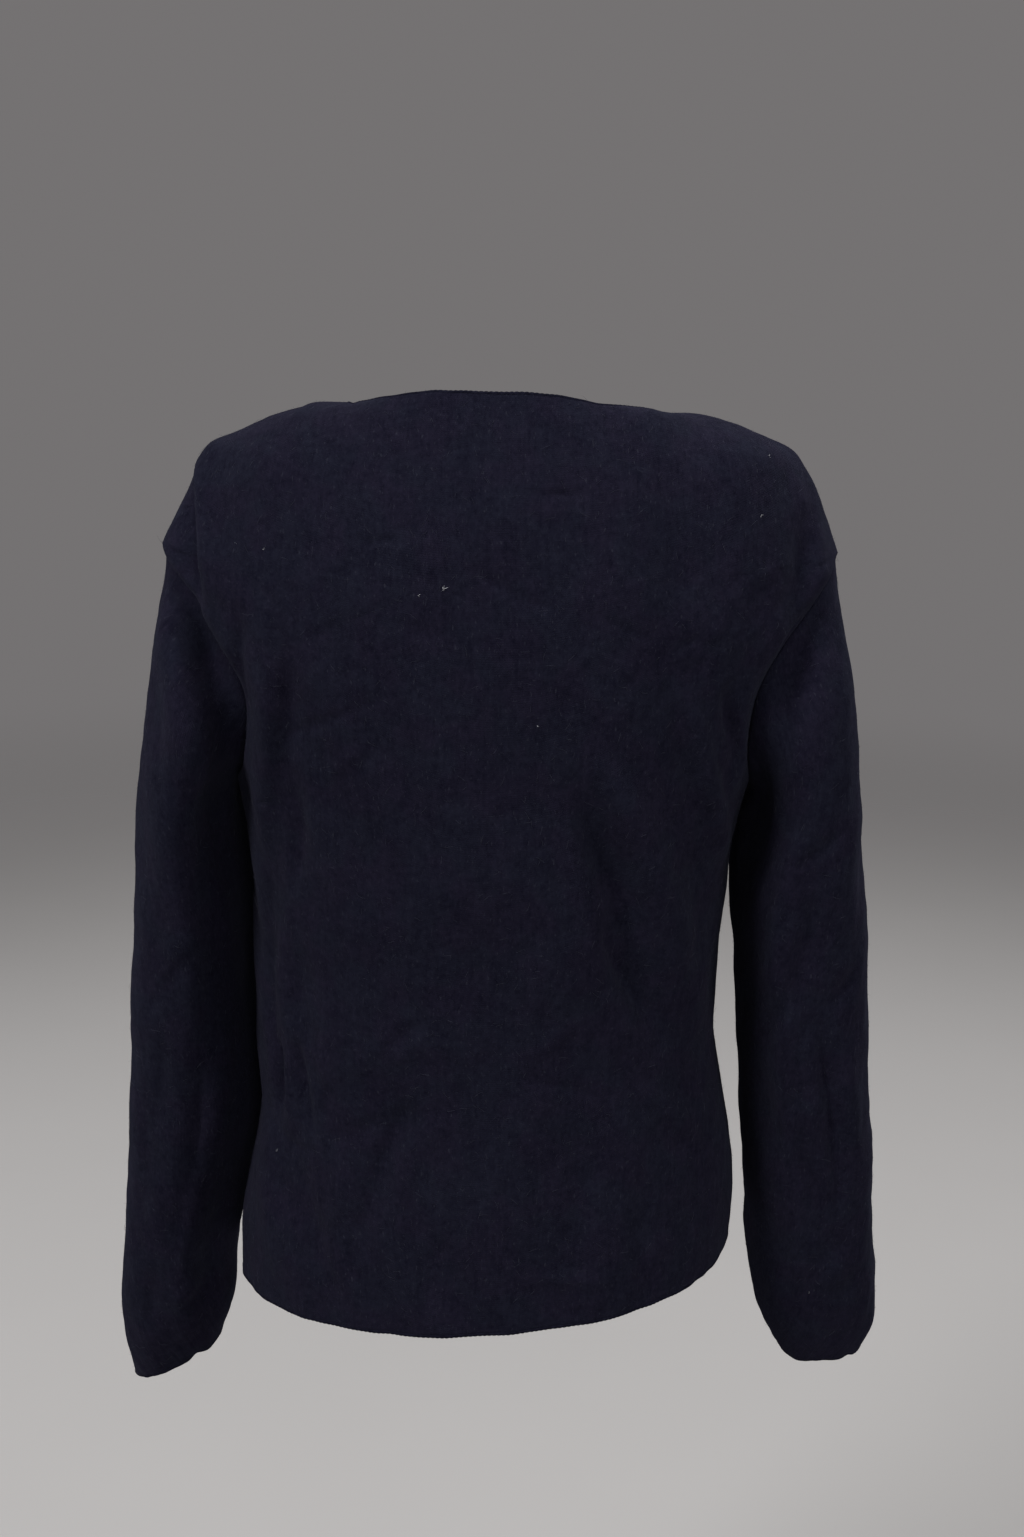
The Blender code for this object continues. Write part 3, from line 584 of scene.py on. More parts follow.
def panelForm(piece):
    # Rows from the wearer's right to the left: two superellipse halves each, then creases, the valleys of the
    # armhole seams, waves, and a groove at every seam
    side, rows = piece["side"], piece["rows"]
    middle = panelMiddle(side, rows)
    left, right = panelEdge(1, side, rows), panelEdge(-1, side, rows)
    t = np.linspace(0, 1, piece["across"] + 1)
    k = body["edgeSpacing"]
    share = 1 - (1 - t) * (1 - k + k * (1 - t))
    fade = np.linspace(0, 1, len(middle))
    lifts = [lift + (body["hemLift"] - lift) * fade for lift in body["neckLift"]]
    toLeft = halfRows(middle, left, lifts[0], share)
    toRight = halfRows(middle, right, lifts[1], share)
    grid = np.concatenate([toRight[:, ::-1], toLeft[:, 1:]], axis=1)
    outward = side * normalsOf(grid, False)
    uv = clothUv(grid, False)
    toSeam = np.minimum(uv[:, :, 0] - uv[:, :1, 0], uv[:, -1:, 0] - uv[:, :, 0])
    free = eased(toSeam / body["stillEdge"])
    grid = creased(grid, outward, side, piece["creases"], free)
    grid = creased(grid, outward, side, piece["shoulderCreases"], eased(toSeam / body["stillShoulder"]))
    for sign in (1, -1):
        sunk = np.zeros((len(grid), 1, 3))
        sunk[rows[0]:rows[0] + rows[1] + 1, 0] = valleyAt(sign, side * armholeAngles(rows[1]))
        fromSeam = sign * (uv[:, -1:, 0] if sign > 0 else uv[:, :1, 0]) - sign * uv[:, :, 0]
        grid = grid + sunk * bell(fromSeam, body["valleyWidth"])[:, :, None]
    grid = wavy(grid, outward, uv, free, piece["seed"])
    groove = body["grooveDepth"] * bell(toSeam, body["grooveWidth"])
    return grid - outward * groove[:, :, None], uv


def sleeveForm(piece):
    # Superellipse rings between the outer and inner lines, eased into the armhole over the first two stretches. It
    # starts a little further out towards the underarm, with the cube of (1 - cos(angle)) / 2. The columns start at
    # the inner line, where the sleeve's own seam runs.
    sign = piece["side"]
    half = armholeAngles(tube["around"])
    angle = np.concatenate([half, 2 * np.pi - half[-2:0:-1]])
    start = armhole(sign, angle)
    start[:, 0] += sign * tube["underarmClear"] * ((1 - np.cos(angle)) / 2) ** 3
    first, last = start[0], start[tube["around"]]
    table = np.array(piece["rings"])
    top = [abs(first[0]), first[2], abs(last[0]), last[2], body["armholeDepth"], 0.0, 0.0, table[0, -1]]
    table = np.vstack([top, table])
    stations = runningLength(table[:, :4])
    at = np.linspace(0, 1, tube["rows"] + 1)
    outer, outerZ, inner, innerZ, depth, forward, lean, turn = (
        smoothThrough(stations, column, at)[:, None] for column in table.T
    )
    bend = 2 / tube["roundness"]
    across = np.sign(np.cos(angle)) * np.abs(np.cos(angle)) ** bend
    deep = np.sign(np.sin(angle)) * np.abs(np.sin(angle)) ** bend
    x = sign * ((outer + inner) / 2 + (outer - inner) / 2 * across)
    z = (outerZ + innerZ) / 2 + (outerZ - innerZ) / 2 * across
    y = depth * deep - forward - lean * eased((turn - across) / (turn + 1))
    grid = np.stack([x, y, z], axis=2)
    ease = eased(at / stations[2])[:, None]
    grid += (start - grid[0]) * (1 - ease[:, :, None])
    down = np.linalg.norm(np.diff(grid, axis=0, prepend=grid[:1]), axis=2).cumsum(0)
    grid += valleyAt(sign, angle) * bell(down, tube["valleyWidth"])[:, :, None]
    grid = np.roll(grid, -tube["around"], axis=1)
    outward = -sign * normalsOf(grid, True)
    uv = clothUv(grid, True)
    plain = uv[:, :-1]
    free = eased(plain[:, :, 1] / tube["stillSeam"])
    grid = creased(grid, outward, 1, piece["backCreases"], free)
    grid = creased(grid, outward, -1, piece["frontCreases"], free)
    grid = wavy(grid, outward, plain, free, piece["seed"])
    # the seam to the body at the top and the sleeve's own seam down the inner line
    toSeam = np.minimum(plain[:, :, 0] - uv[:, :1, 0], uv[:, -1:, 0] - plain[:, :, 0])
    groove = tube["grooveDepth"] * bell(toSeam, tube["grooveWidth"])
    groove += body["grooveDepth"] * bell(plain[:, :, 1], body["grooveWidth"])
    grid = grid - outward * groove[:, :, None]
    # a small nick in the cuff's edge, on the back
    nickX, nickWidth, nickHeight = piece["nick"]
    nearEnd = eased((plain[:, :, 1] - plain[-1:, :, 1]) / tube["nickReach"] + 1)
    onBack = outward[:, :, 1] > 0
    grid[:, :, 2] += nickHeight * onBack * nearEnd * bell(grid[:, :, 0] - nickX, nickWidth)
    return grid, uv


def formOf(piece):
    # A piece's grid with its place on the knit, its outward normals, and how its faces go round
    wraps = "rings" in piece
    grid, uv = (sleeveForm if wraps else panelForm)(piece)
    outward = normalsOf(grid, wraps) * (-piece["side"] if wraps else piece["side"])
    return {"grid": grid, "uv": uv, "outward": outward, "wraps": wraps, "turned": piece["side"] < 0}


def meshOf(name, points, faces, material):
    # Puts points and lists of corner indices into a mesh object that rides on the body
    mesh = bpy.data.meshes.new(name)
    mesh.from_pydata(points.reshape(-1, 3).tolist(), [], faces)
    mesh.materials.append(material)
    mesh.shade_smooth()
    piece = bpy.data.objects.new(name, mesh)
    bpy.context.scene.collection.objects.link(piece)
    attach(piece, "root")
    return piece


def quads(rows, columns, wraps):
    # Corner indices of a grid's faces
    index = closedRound(np.arange(rows * columns).reshape(rows, columns), wraps)
    corners = (index[:-1, :-1], index[:-1, 1:], index[1:, 1:], index[1:, :-1])
    return np.stack([corner.ravel() for corner in corners], axis=1)


def clothPiece(name, form, material):
    # The grid's faces with its own UV in metres, given thickness by Solidify
    grid, uv = form["grid"], form["uv"]
    rows, columns = grid.shape[:2]
    faces = quads(rows, columns, form["wraps"])
    corners = quads(rows, uv.shape[1], False)
    if form["turned"]:
        faces, corners = faces[:, ::-1], corners[:, ::-1]
    piece = meshOf(name, grid, faces.tolist(), material)
    layer = piece.data.uv_layers.new(name="knit")
    layer.data.foreach_set("uv", uv.reshape(-1, 2)[corners.ravel()].ravel())
    wall = piece.modifiers.new("wall", "SOLIDIFY")
    wall.thickness = body["wall"]
    wall.offset = 0.0
    wall.use_even_offset = True
    area = cellAreas(closedRound(grid, form["wraps"])).sum()
    print("  %s: %d faces, %.4f m2 of cloth, up to %.3f m across and %.3f m down"
          % (name, len(faces), area, np.ptp(uv[:, :, 0], axis=1).max(), uv[-1, :, 1].max()))
    return piece


class Wire:
    # One output of a node. Python's operators on it add Math nodes to the same tree.
    def __init__(self, shader, socket):
        self.shader = shader
        self.socket = socket

    def maths(self, operation, *values):
        sockets = dict(zip(("Value", "Value_001", "Value_002"), values))
        return self.shader.node("ShaderNodeMath", {"operation": operation}, sockets)

    def __add__(self, other):
        return self.maths("ADD", self, other)

    def __sub__(self, other):
        return self.maths("SUBTRACT", self, other)

    def __rsub__(self, other):
        return self.maths("SUBTRACT", other, self)

    def __mul__(self, other):
        return self.maths("MULTIPLY", self, other)

    def __truediv__(self, other):
        return self.maths("DIVIDE", self, other)

    def __abs__(self):
        return self.maths("ABSOLUTE", self)

    __radd__ = __add__
    __rmul__ = __mul__

    def fraction(self):
        return self.maths("FRACT", self)

    def sine(self):
        return self.maths("SINE", self)

    def between(self, low, high):
        # 0 below low, 1 above high, smooth in between
        settings = {"interpolation_type": "SMOOTHSTEP"}
        sockets = {"Value": self, "From Min": low, "From Max": high}
        return self.shader.node("ShaderNodeMapRange", settings, sockets)


class Shader:
    # A material's nodes. Every node but those of Wire's operators comes from node().
    def __init__(self, name):
        self.material = bpy.data.materials.new(name)
        self.material.use_nodes = True
        self.tree = self.material.node_tree
        self.surface = self.tree.nodes["Principled BSDF"]

    def node(self, kind, settings, sockets, output=0):
        # A node of this type, with its settings and then the values or links of its sockets
        node = self.tree.nodes.new(kind)
        for key, value in settings.items():
            setattr(node, key, value)
        self.fill(node, sockets)
        outputs = {socket.identifier: socket for socket in node.outputs}
        return Wire(self, outputs[output] if isinstance(output, str) else node.outputs[output])

    def fill(self, node, sockets):
        inputs = {socket.identifier: socket for socket in node.inputs}
        for key, value in sockets.items():
            if isinstance(value, Wire):
                self.tree.links.new(value.socket, inputs[key])
            else:
                inputs[key].default_value = value

    def mixed(self, factor, first, second):
        settings = {"data_type": "RGBA", "clamp_factor": True}
        sockets = {"Factor_Float": factor, "A_Color": first, "B_Color": second}
        return self.node("ShaderNodeMix", settings, sockets, "Result_Color")

    def noise(self, vector, scale, detail=2.0, roughness=0.5):
        sockets = {"Vector": vector, "Scale": scale, "Detail": detail, "Roughness": roughness}
        return self.node("ShaderNodeTexNoise", {}, sockets, "Fac")

    def objectPlace(self):
        return self.node("ShaderNodeTexCoord", {}, {}, "Object")

    def joined(self, x, y, z):
        return self.node("ShaderNodeCombineXYZ", {}, {"X": x, "Y": y, "Z": z})


# The knit's looks: lengths in metres, colours linear. A grain is a noise: how fine it is (per metre of space, or
# across and down the knit with a layer of its own), its detail and its roughness.
knitLook = {
    "dark": (0.0046, 0.0044, 0.0100, 1.0),
    "lightCool": (0.0128, 0.0136, 0.0240, 1.0),
    "lightWarm": (0.0140, 0.0126, 0.0242, 1.0),
    "fibre": (0.0300, 0.0310, 0.0440, 1.0),
    "wale": 0.0018,
    "course": 0.00135,
    "slant": 0.45,
    "stitchRelief": 0.4,
    "leastShown": 0.25,  # how much of the stitches shows where the felt is thickest
    # each grain, and how much it moves the tone and the relief
    "grains": {
        "strands": ((560, 260, 0), 3.0, 0.60, 0.75, 0.5),
        "felt": (900.0, 3.0, 0.65, 0.70, 0.4),
        "mottle": (260.0, 3.0, 0.60, 0.95, 0.6),
        "blotches": (24.0, 4.0, 0.60, 0.35, 0.0),
        "clouds": (110.0, 2.0, 0.50, 0.50, 0.0),
        "streaks": ((300, 34, 7), 3.0, 0.60, 0.60, 0.0),
    },
    # masks: a grain, from where to where it rises, and how strong it is
    "patches": (45.0, 3.0, 0.5, 0.35, 0.65, 0.60),
    "warmth": (38.0, 2.0, 0.5, 0.38, 0.62, 1.0),
    "stray": ((700, 260, 3), 2.0, 0.5, 0.62, 0.74, 0.45),
    "roughness": (0.84, 0.12),
    "bump": 0.0006,
    "bumpStrength": 0.8,
    "sheen": 0.045,
    "sheenRoughness": 0.5,
    "sheenTint": (0.42, 0.44, 0.58, 1.0),
}


def knitMaterial(name, look):
    # Stockinette relief: across each wale two legs, 1 - (2m - 1)^2 with m the distance from the wale's middle, and
    # down each leg sin(pi s), s running slantwise with m. Fulling hides it in patches under a felt of fine fibres.
    shader = Shader(name)
    place = shader.objectPlace()
    uv = shader.node("ShaderNodeUVMap", {"uv_map": "knit"}, {})
    u = shader.node("ShaderNodeSeparateXYZ", {}, {"Vector": uv})
    v = Wire(shader, u.socket.node.outputs["Y"])

    def grain(fineness, detail, roughness):
        if isinstance(fineness, tuple):
            across, down, layer = fineness
            return shader.noise(shader.joined(u * across, v * down, layer), 1.0, detail, roughness)
        return shader.noise(place, fineness, detail, roughness)

    def mask(key):
        *noise, low, high, strength = look[key]
        return grain(*noise).between(low, high) * strength

    m = abs((u / look["wale"]).fraction() * 2 - 1)
    leg = m * 2 - 1
    stitch = (1 - leg * leg) * ((v / look["course"] + m * look["slant"]).fraction() * math.pi).sine()
    height = stitch * (mask("patches") + look["leastShown"]) * look["stitchRelief"]
    tone = 0.5
    grains = {}
    for key, (*noise, toTone, toHeight) in look["grains"].items():
        grains[key] = grain(*noise)
        tone = (grains[key] - 0.5) * toTone + tone
        if toHeight:
            height = height + grains[key] * toHeight
    light = shader.mixed(mask("warmth"), look["lightCool"], look["lightWarm"])
    colour = shader.mixed(tone, look["dark"], light)
    colour = shader.mixed(mask("stray"), colour, look["fibre"])
    relief = {"Height": height, "Distance": look["bump"], "Strength": look["bumpStrength"]}
    least, more = look["roughness"]
    shader.fill(shader.surface, {
        "Base Color": colour,
        "Roughness": grains["felt"] * more + least,
        "Normal": shader.node("ShaderNodeBump", {}, relief),
        "Specular IOR Level": 0.0,
        "Sheen Weight": look["sheen"],
        "Sheen Roughness": look["sheenRoughness"],
        "Sheen Tint": look["sheenTint"],
    })
    return shader.material


# Loose fibres and yarns: one colour each, paler from tuft to tuft
wools = {
    "binding": (0.0060, 0.0060, 0.0115, 1.0),
    "seam yarn": (0.0080, 0.0080, 0.0150, 1.0),
    "nap": (0.0220, 0.0226, 0.0335, 1.0),
    "stray fibres": (0.0360, 0.0370, 0.0510, 1.0),
    "fluff": (0.30, 0.30, 0.32, 1.0),
}
tufting = {"scale": 300.0, "range": (0.35, 0.65), "paler": 1.5, "roughness": 0.9}


def woolMaterial(name):
    # One colour with a slow change from tuft to tuft
    shader = Shader(name)
    tufts = shader.noise(shader.objectPlace(), tufting["scale"]).between(*tufting["range"])
    colour = wools[name]
    pale = tuple(c * tufting["paler"] for c in colour[:3]) + (1.0,)
    shader.fill(shader.surface, {
        "Base Color": shader.mixed(tufts, colour, pale),
        "Roughness": tufting["roughness"],
        "Specular IOR Level": 0.0,
    })
    return shader.material


def tubeFaces(rows, around, closed):
    # The faces of a tube, joined into a ring or with one face over each end
    index = np.arange(rows * around).reshape(rows, around)
    if closed:
        index = np.concatenate([index, index[:1]])
    index = closedRound(index, True)
    corners = (index[:-1, :-1], index[1:, :-1], index[1:, 1:], index[:-1, 1:])
    faces = np.stack([corner.ravel() for corner in corners], axis=1).tolist()
    if not closed:
        faces += [index[0, :-1].tolist(), index[-1, -2::-1].tolist()]
    return faces


def carried(name, centre, first, second, closed, material):
    # A tube round a line: at each of its points the reaches round the ring, along two directions
    grid = centre[:, None]
    for way, reach in (first, second):
        grid = grid + way[:, None] * reach[:, :, None]
    return meshOf(name, grid, tubeFaces(*grid.shape[:2], closed), material)


def looped(points, off, pitch, samples):
    # A closed path read evenly, with a whole number of pitches, and the direction off the cloth's edge there
    closed = np.concatenate([points, points[:1]])
    stations = runningLength(closed)
    length = np.linalg.norm(np.diff(closed, axis=0), axis=1).sum()
    count = int(round(length / pitch)) * samples
    at = np.arange(count) / count
    path = straightLine(closed, stations, at)
    aside = straightLine(np.concatenate([off, off[:1]]), stations, at)
    ahead = unit(np.roll(path, -2, axis=0) - np.roll(path, 2, axis=0))
    return path, ahead, upright(aside, ahead)


edging = {
    "pitch": 0.0030,
    "samples": 6,
    "around": 10,
    "thick": 0.00135,
    "thinning": 0.12,
    "wide": 0.00125,
    "scallop": 0.30,
    "inset": 0.45,  # how far it sits over the cloth's edge, as a share of its width
}


def boundEdge(name, points, off, material, slot):
    # An ellipse carried round the edge, whose outer half swells with |cos(pi s / pitch)| at each loop of yarn
    path, ahead, aside = looped(points, off, edging["pitch"], edging["samples"])
    through = np.cross(ahead, aside)
    phi = np.arange(edging["around"]) / edging["around"] * 2 * np.pi
    loop = np.abs(np.cos(np.pi * np.arange(len(path)) / edging["samples"]))[:, None]
    thick = edging["thick"] * (1 - edging["thinning"] * loop) * np.cos(phi)
    wide = edging["wide"] * (1 + edging["scallop"] * loop * (np.sin(phi) > 0)) * np.sin(phi)
    centre = path - aside * edging["wide"] * edging["inset"]
    return carried(name, centre, (through, thick), (aside, wide), True, material)


allowance = {
    "thick": 0.0009,
    "wide": 0.0030,
    "around": 8,
    "pitch": 0.0030,
    "spacing": 0.0010,
    "ripple": 0.12,
    "taper": (0.02, 0.05),  # over which share of its length it narrows at an open end, and what is left there
    "sunk": 0.6,  # how far its middle lies under the cloth, as a share of its thickness
}


def seamAllowance(name, path, outward, closed, material):
    # A flat ellipse carried along the inside of a seam, its width rippling with the overlocking
    length = np.linalg.norm(np.diff(path, axis=0), axis=1).sum()
    at = np.linspace(0, 1, int(length / allowance["spacing"]), endpoint=not closed)
    stations = runningLength(path)
    path, outward = straightLine(path, stations, at), straightLine(outward, stations, at)
    ahead = np.roll(path, -1, axis=0) - np.roll(path, 1, axis=0) if closed else np.gradient(path, axis=0)
    ahead = unit(ahead)
    outward = upright(outward, ahead)
    aside = np.cross(ahead, outward)
    phi = np.arange(allowance["around"]) / allowance["around"] * 2 * np.pi
    turns = np.arange(len(path))[:, None] * allowance["spacing"] / allowance["pitch"]
    taper, left = allowance["taper"]
    narrowed = np.ones((len(path), 1)) if closed else eased(np.minimum(at, 1 - at) / taper + left)[:, None]
    ripple = 1 + allowance["ripple"] * np.cos(2 * np.pi * turns)
    wide = allowance["wide"] * ripple * narrowed * np.cos(phi)
    thick = allowance["thick"] * narrowed * np.sin(phi)
    centre = path - outward * (body["wall"] / 2 + allowance["thick"] * allowance["sunk"])
    return carried(name, centre, (aside, wide), (outward, thick), closed, material)


# Short fibres lie on the cloth, and longer stray ones bow over it: length, how far they stand up as a share of a
# right angle, how far they curl sideways as a share of their length, and how many stretches they have
nap = {
    "short": {"length": (0.0016, 0.0042), "lift": (0.04, 0.45), "curl": 0.0, "stretches": 1, "seed": 40},
    "stray": {"length": (0.0040, 0.0090), "lift": (0.05, 0.22), "curl": 0.5, "stretches": 3, "seed": 50},
    "radius": 0.00006,
    "sunk": 0.0002,
    "lying": 2.5,  # the higher, the fewer of them stand up
    "bow": 1.4,  # the higher, the steeper a longer one leaves the cloth
}


def napPiece(name, form, count, kind, number, material):
    # Fine fibres on the outside, each a closed three-sided spike whose middle line leaves its root in a seeded
    # direction and bends with the square of the share t of its length. A longer one rises with t (bow - t).
    draw = np.random.default_rng(kind["seed"] + number)
    closed = closedRound(form["grid"], form["wraps"])
    normals = closedRound(form["outward"], form["wraps"])
    area = cellAreas(closed)
    cell = draw.choice(area.size, count, p=(area / area.sum()).ravel())
    row, column = np.divmod(cell, area.shape[1])
    s, t = draw.random((2, count, 1))

    def blended(field):
        # Between the four corners of each fibre's cell
        top = field[row, column] * (1 - t) + field[row, column + 1] * t
        low = field[row + 1, column] * (1 - t) + field[row + 1, column + 1] * t
        return top * (1 - s) + low * s

    up = unit(blended(normals))
    root = blended(closed) + up * (body["wall"] / 2 - nap["sunk"])
    flat = unit(np.cross(up, draw.normal(size=(count, 3))))
    side = np.cross(up, flat)
    lowest, highest = kind["lift"]
    lift = (lowest + (highest - lowest) * draw.random((count, 1)) ** nap["lying"]) * np.pi / 2
    length = draw.uniform(*kind["length"], (count, 1))
    curl = kind["curl"] * draw.uniform(-1, 1, (count, 1))
    stretches, radius = kind["stretches"], nap["radius"]
    points = []
    for step in range(stretches + 1):
        share = step / stretches
        rise = share if stretches == 1 else share * (nap["bow"] - share)
        along = flat * np.cos(lift) * share + up * np.sin(lift) * rise + side * curl * share**2
        middle = root + length * along
        if step == stretches:
            points.append(middle)
        else:
            low = middle - up * radius / 2
            points += [middle + up * radius, low + side * radius, low - side * radius]
    points = np.stack(points, axis=1)
    pattern = [(0, 1, 2)]
    for first in range(0, 3 * (stretches - 1), 3):
        for a, b in ((0, 1), (1, 2), (2, 0)):
            pattern += [(first + a, first + 3 + a, first + b), (first + b, first + 3 + a, first + 3 + b)]
    last = 3 * stretches
    pattern += [(last - 3, last, last - 2), (last - 2, last, last - 1), (last - 1, last, last - 3)]
    pattern = np.array(pattern)
    edges = points[:, 1:4] - points[:, :1]
    volume = np.einsum("ij,ij->i", np.cross(edges[:, 0], edges[:, 1]), edges[:, 2])
    faces = np.where((volume > 0)[:, None, None], pattern[:, ::-1], pattern)
    faces = faces + (last + 1) * np.arange(count)[:, None, None]
    return meshOf(name, points, faces.reshape(-1, 3).tolist(), material)


# Stray pale fluff caught in the wool: x and z on the back, how many fibres, their length
fluff = {
    "back_panel": [
        (0.0279, -0.1068, 9, 0.0030), (0.0441, -0.1095, 4, 0.0016), (-0.1630, -0.0312, 4, 0.0018),
        (-0.1566, -0.0634, 5, 0.0020), (-0.0254, -0.1850, 3, 0.0014), (0.1542, -0.0845, 3, 0.0014),
        (0.1356, -0.0876, 3, 0.0013), (0.1369, -0.4802, 4, 0.0017),
    ],
    "sleeve_right": [(-0.2251, -0.5986, 4, 0.0017)],
    "radius": 0.00016,
    "raised": 0.0002,
    "scatter": 0.0003,
    "upright": 0.3,
    "shortest": 0.5,
    "seed": 60,
}


def fluffPiece(name, spots, form, number, material):
    # Each speck is a handful of short spikes of four triangles from one spot on the cloth
    draw = np.random.default_rng(fluff["seed"] + number)
    grid, outward = form["grid"], form["outward"]
    offBack = np.where(outward[:, :, 1] > 0, 0, 1)
    cells = [((grid[:, :, 0] - x) ** 2 + (grid[:, :, 2] - z) ** 2 + offBack).argmin() for x, z, *_ in spots]
    counts = [count for *_, count, _ in spots]
    place, up = (np.repeat(field.reshape(-1, 3)[cells], counts, axis=0) for field in (grid, outward))
    length = np.repeat([spot[-1] for spot in spots], counts)[:, None]
    count = len(up)
    root = place + up * (body["wall"] / 2 + fluff["raised"]) + draw.normal(0, fluff["scatter"], (count, 3))
    way = unit(draw.normal(size=(count, 3)) + up * fluff["upright"])
    tip = root + way * length * draw.uniform(fluff["shortest"], 1.0, (count, 1))
    side = unit(np.cross(way, draw.normal(size=(count, 3))))
    other = np.cross(way, side)
    radius = fluff["radius"]
    points = np.stack([root + side * radius, root - side * radius / 2 + other * radius,
                       root - side * radius / 2 - other * radius, tip], axis=1)
    faces = np.array([(0, 2, 1), (0, 1, 3), (1, 2, 3), (2, 0, 3)]) + 4 * np.arange(count)[:, None, None]
    return meshOf(name, points, faces.reshape(-1, 3).tolist(), material)


print("working out the cloth's form")
forms = {node: formOf(piece) for node, piece in pieces.items()}

print("knitting the four pieces")
for node, piece in pieces.items():
    knit = knitMaterial(piece["slot"].replace("_", " "), knitLook)
    clothPiece(node + "_cloth", forms[node], knit)
    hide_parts(node)

print("binding the neck, the hem and the cuffs")
back, front, left, right = (form["grid"] for form in forms.values())


def bothPanels(row, within):
    # Their edge all round, and the way off the cloth there
    line, inside = (np.concatenate([back[i], front[i, ::-1]]) for i in (row, within))
    return line, line - inside


binding = woolMaterial("binding")
boundEdge("neck_binding", *bothPanels(0, 2), binding, "back_knit")
boundEdge("hem_binding", *bothPanels(-1, -3), binding, "back_knit")
boundEdge("cuff_binding_left", left[-1], left[-1] - left[-3], binding, "left_sleeve_knit")
boundEdge("cuff_binding_right", right[-1], right[-1] - right[-3], binding, "right_sleeve_knit")

print("closing the seams on the inside")
seamYarn = woolMaterial("seam yarn")
edgeRows = backPanel["rows"]
shoulderEnd, armholeEnd = edgeRows[0] + 1, edgeRows[0] + edgeRows[1]
within = slice(3, -3)  # a sleeve's own seam stops short of its ends
for side, sign, column in (("left", 1, -1), ("right", -1, 0)):
    edge = panelEdge(sign, 0, edgeRows)
    out = forms["back_panel"]["outward"][:, column] * (1, 0, 1)
    seamAllowance("shoulder_seam_" + side, edge[:shoulderEnd], out[:shoulderEnd], False, seamYarn)
    seamAllowance("side_seam_" + side, edge[armholeEnd:], out[armholeEnd:], False, seamYarn)
    sleeve, out, slot = forms["sleeve_" + side]["grid"], forms["sleeve_" + side]["outward"], side + "_sleeve_knit"
    ring, ringOut = (np.concatenate([field[0], field[0, :1]]) for field in (sleeve, out))
    seamAllowance("armhole_seam_" + side, ring, ringOut, True, seamYarn)
    seamAllowance("sleeve_seam_" + side, sleeve[within, 0], out[within, 0], False, seamYarn)

print("raising the nap")
napWool, strayWool = woolMaterial("nap"), woolMaterial("stray fibres")
for number, (node, piece) in enumerate(pieces.items()):
    form, (short, stray), slot = forms[node], piece["fibres"], piece["slot"]
    napPiece(node + "_nap", form, short, nap["short"], number, napWool)
    napPiece(node + "_stray_fibres", form, stray, nap["stray"], number, strayWool)

print("a few specks of fluff")
fluffWool = woolMaterial("fluff")
for number, node in enumerate(("back_panel", "sleeve_right")):
    fluffPiece(node + "_fluff", fluff[node], forms[node], number, fluffWool)

print("studio")
studio = {
    "floorHeight": -1.37,
    "floorRadius": 7.0,
    "floorRings": (24, 96),  # how many, and how many points each
    "floorHole": 0.02,  # the smallest ring, as a share of the radius
    "floorColour": (0.42, 0.41, 0.405, 1.0),
    "floorShade": 0.96,
    "floorGrain": (3.0, 4.0),
    "floorRoughness": 0.9,
    "floorShine": 0.1,
    "floorFade": (0.35, 0.98),  # from where to where it fades out, as shares of the radius
    "world": (0.175, 0.167, 0.168, 1.0),
    "worldStrength": 1.0,
    # place, aim, width, power
    "lights": {
        "key": ((2.2, 1.75, 2.2), (0.0, 0.0, -0.3), 1.1, 90.0),
        "backFill": ((-0.6, 2.7, 1.0), (0.0, 0.0, -0.35), 1.4, 17.0),
        "sleeveFill": ((-1.7, 0.9, 0.4), (-0.24, 0.0, -0.35), 0.8, 9.0),
        "top": ((0.2, 0.45, 2.6), (0.0, 0.0, -0.1), 1.0, 26.0),
        "frontKey": ((-1.7, -1.7, 2.2), (0.0, 0.0, -0.25), 1.3, 76.0),
        "frontFill": ((2.2, -1.5, 0.6), (0.0, 0.0, -0.35), 1.2, 18.0),
    },
    "cameraPlace": (-0.0118, 0.967, -0.012),
    "cameraTilt": 77.0,
    "cameraRoll": 0.93,
    "sensorWidth": 36.0,
    "focalPixels": 1500.0,
    "imageHeight": 1537,
}


def aimed(place, aim):
    # The turn that points an object's -Z at the aim
    return (Vector(aim) - Vector(place)).to_track_quat("-Z", "Y").to_euler()


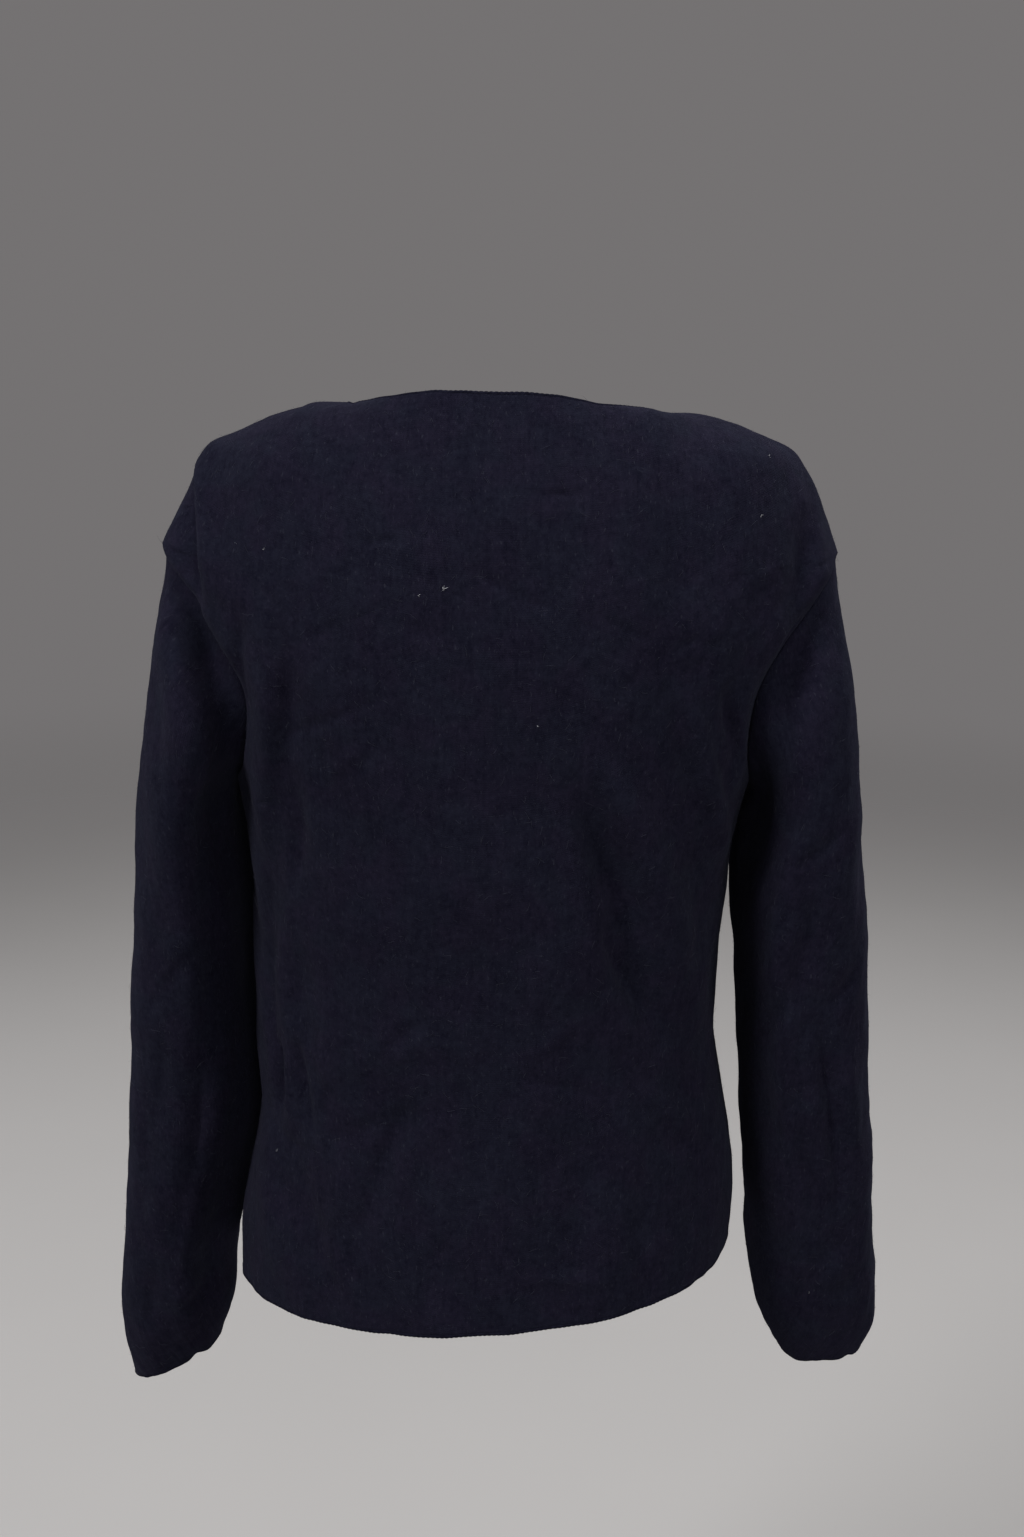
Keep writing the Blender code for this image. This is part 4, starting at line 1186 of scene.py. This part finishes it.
def makeStudio():
    # An even grey world, round area lights, and the camera behind the wearer: half a turn about Z, then its tilt
    # and its roll
    scene = bpy.context.scene
    scene.view_settings.view_transform = "Standard"
    world = bpy.data.worlds.new("studio")
    world.use_nodes = True
    ground = world.node_tree.nodes["Background"]
    ground.inputs["Color"].default_value = studio["world"]
    ground.inputs["Strength"].default_value = studio["worldStrength"]
    scene.world = world
    for name, (place, aim, width, power) in studio["lights"].items():
        light = bpy.data.lights.new(name, "AREA")
        light.shape = "DISK"
        light.size = width
        light.energy = power
        lamp = bpy.data.objects.new(name, light)
        lamp.location = place
        lamp.rotation_euler = aimed(place, aim)
        scene.collection.objects.link(lamp)
    camera = bpy.data.objects.new("camera", bpy.data.cameras.new("camera"))
    camera.data.sensor_width = studio["sensorWidth"]
    camera.data.lens = studio["focalPixels"] / studio["imageHeight"] * studio["sensorWidth"]
    camera.location = studio["cameraPlace"]
    turn = Matrix.Rotation(math.pi, 3, "Z") @ Matrix.Rotation(math.radians(studio["cameraTilt"]), 3, "X")
    camera.rotation_euler = (turn @ Matrix.Rotation(math.radians(studio["cameraRoll"]), 3, "Z")).to_euler()
    scene.collection.objects.link(camera)
    scene.camera = camera


def makeFloor():
    # A disc in rings, which fades out towards its rim
    rings, around = studio["floorRings"]
    height, widest = studio["floorHeight"], studio["floorRadius"]
    radius = widest * np.linspace(studio["floorHole"], 1, rings)[:, None]
    angle = np.linspace(0, 2 * np.pi, around, endpoint=False)
    grid = np.stack([radius * np.cos(angle), radius * np.sin(angle), np.full((rings, around), height)], axis=2)
    faces = quads(rings, around, True)[:, ::-1]
    points = np.concatenate([grid.reshape(-1, 3), [[0, 0, height]]])
    middle = [[rings * around, i, (i + 1) % around] for i in range(around)]
    mesh = bpy.data.meshes.new("floor")
    mesh.from_pydata(points.tolist(), [], faces.tolist() + middle)
    floor = bpy.data.objects.new("floor", mesh)
    bpy.context.scene.collection.objects.link(floor)
    shader = Shader("floor")
    place = shader.objectPlace()
    far = shader.node("ShaderNodeVectorMath", {"operation": "LENGTH"}, {"Vector": place}, "Value")
    pale = studio["floorColour"]
    shade = tuple(c * studio["floorShade"] for c in pale[:3]) + (1.0,)
    shader.fill(shader.surface, {
        "Base Color": shader.mixed(shader.noise(place, *studio["floorGrain"]), shade, pale),
        "Roughness": studio["floorRoughness"],
        "Specular IOR Level": studio["floorShine"],
        "Alpha": 1 - far.between(*(share * widest for share in studio["floorFade"])),
    })
    mesh.materials.append(shader.material)


makeStudio()
makeFloor()

print("done")
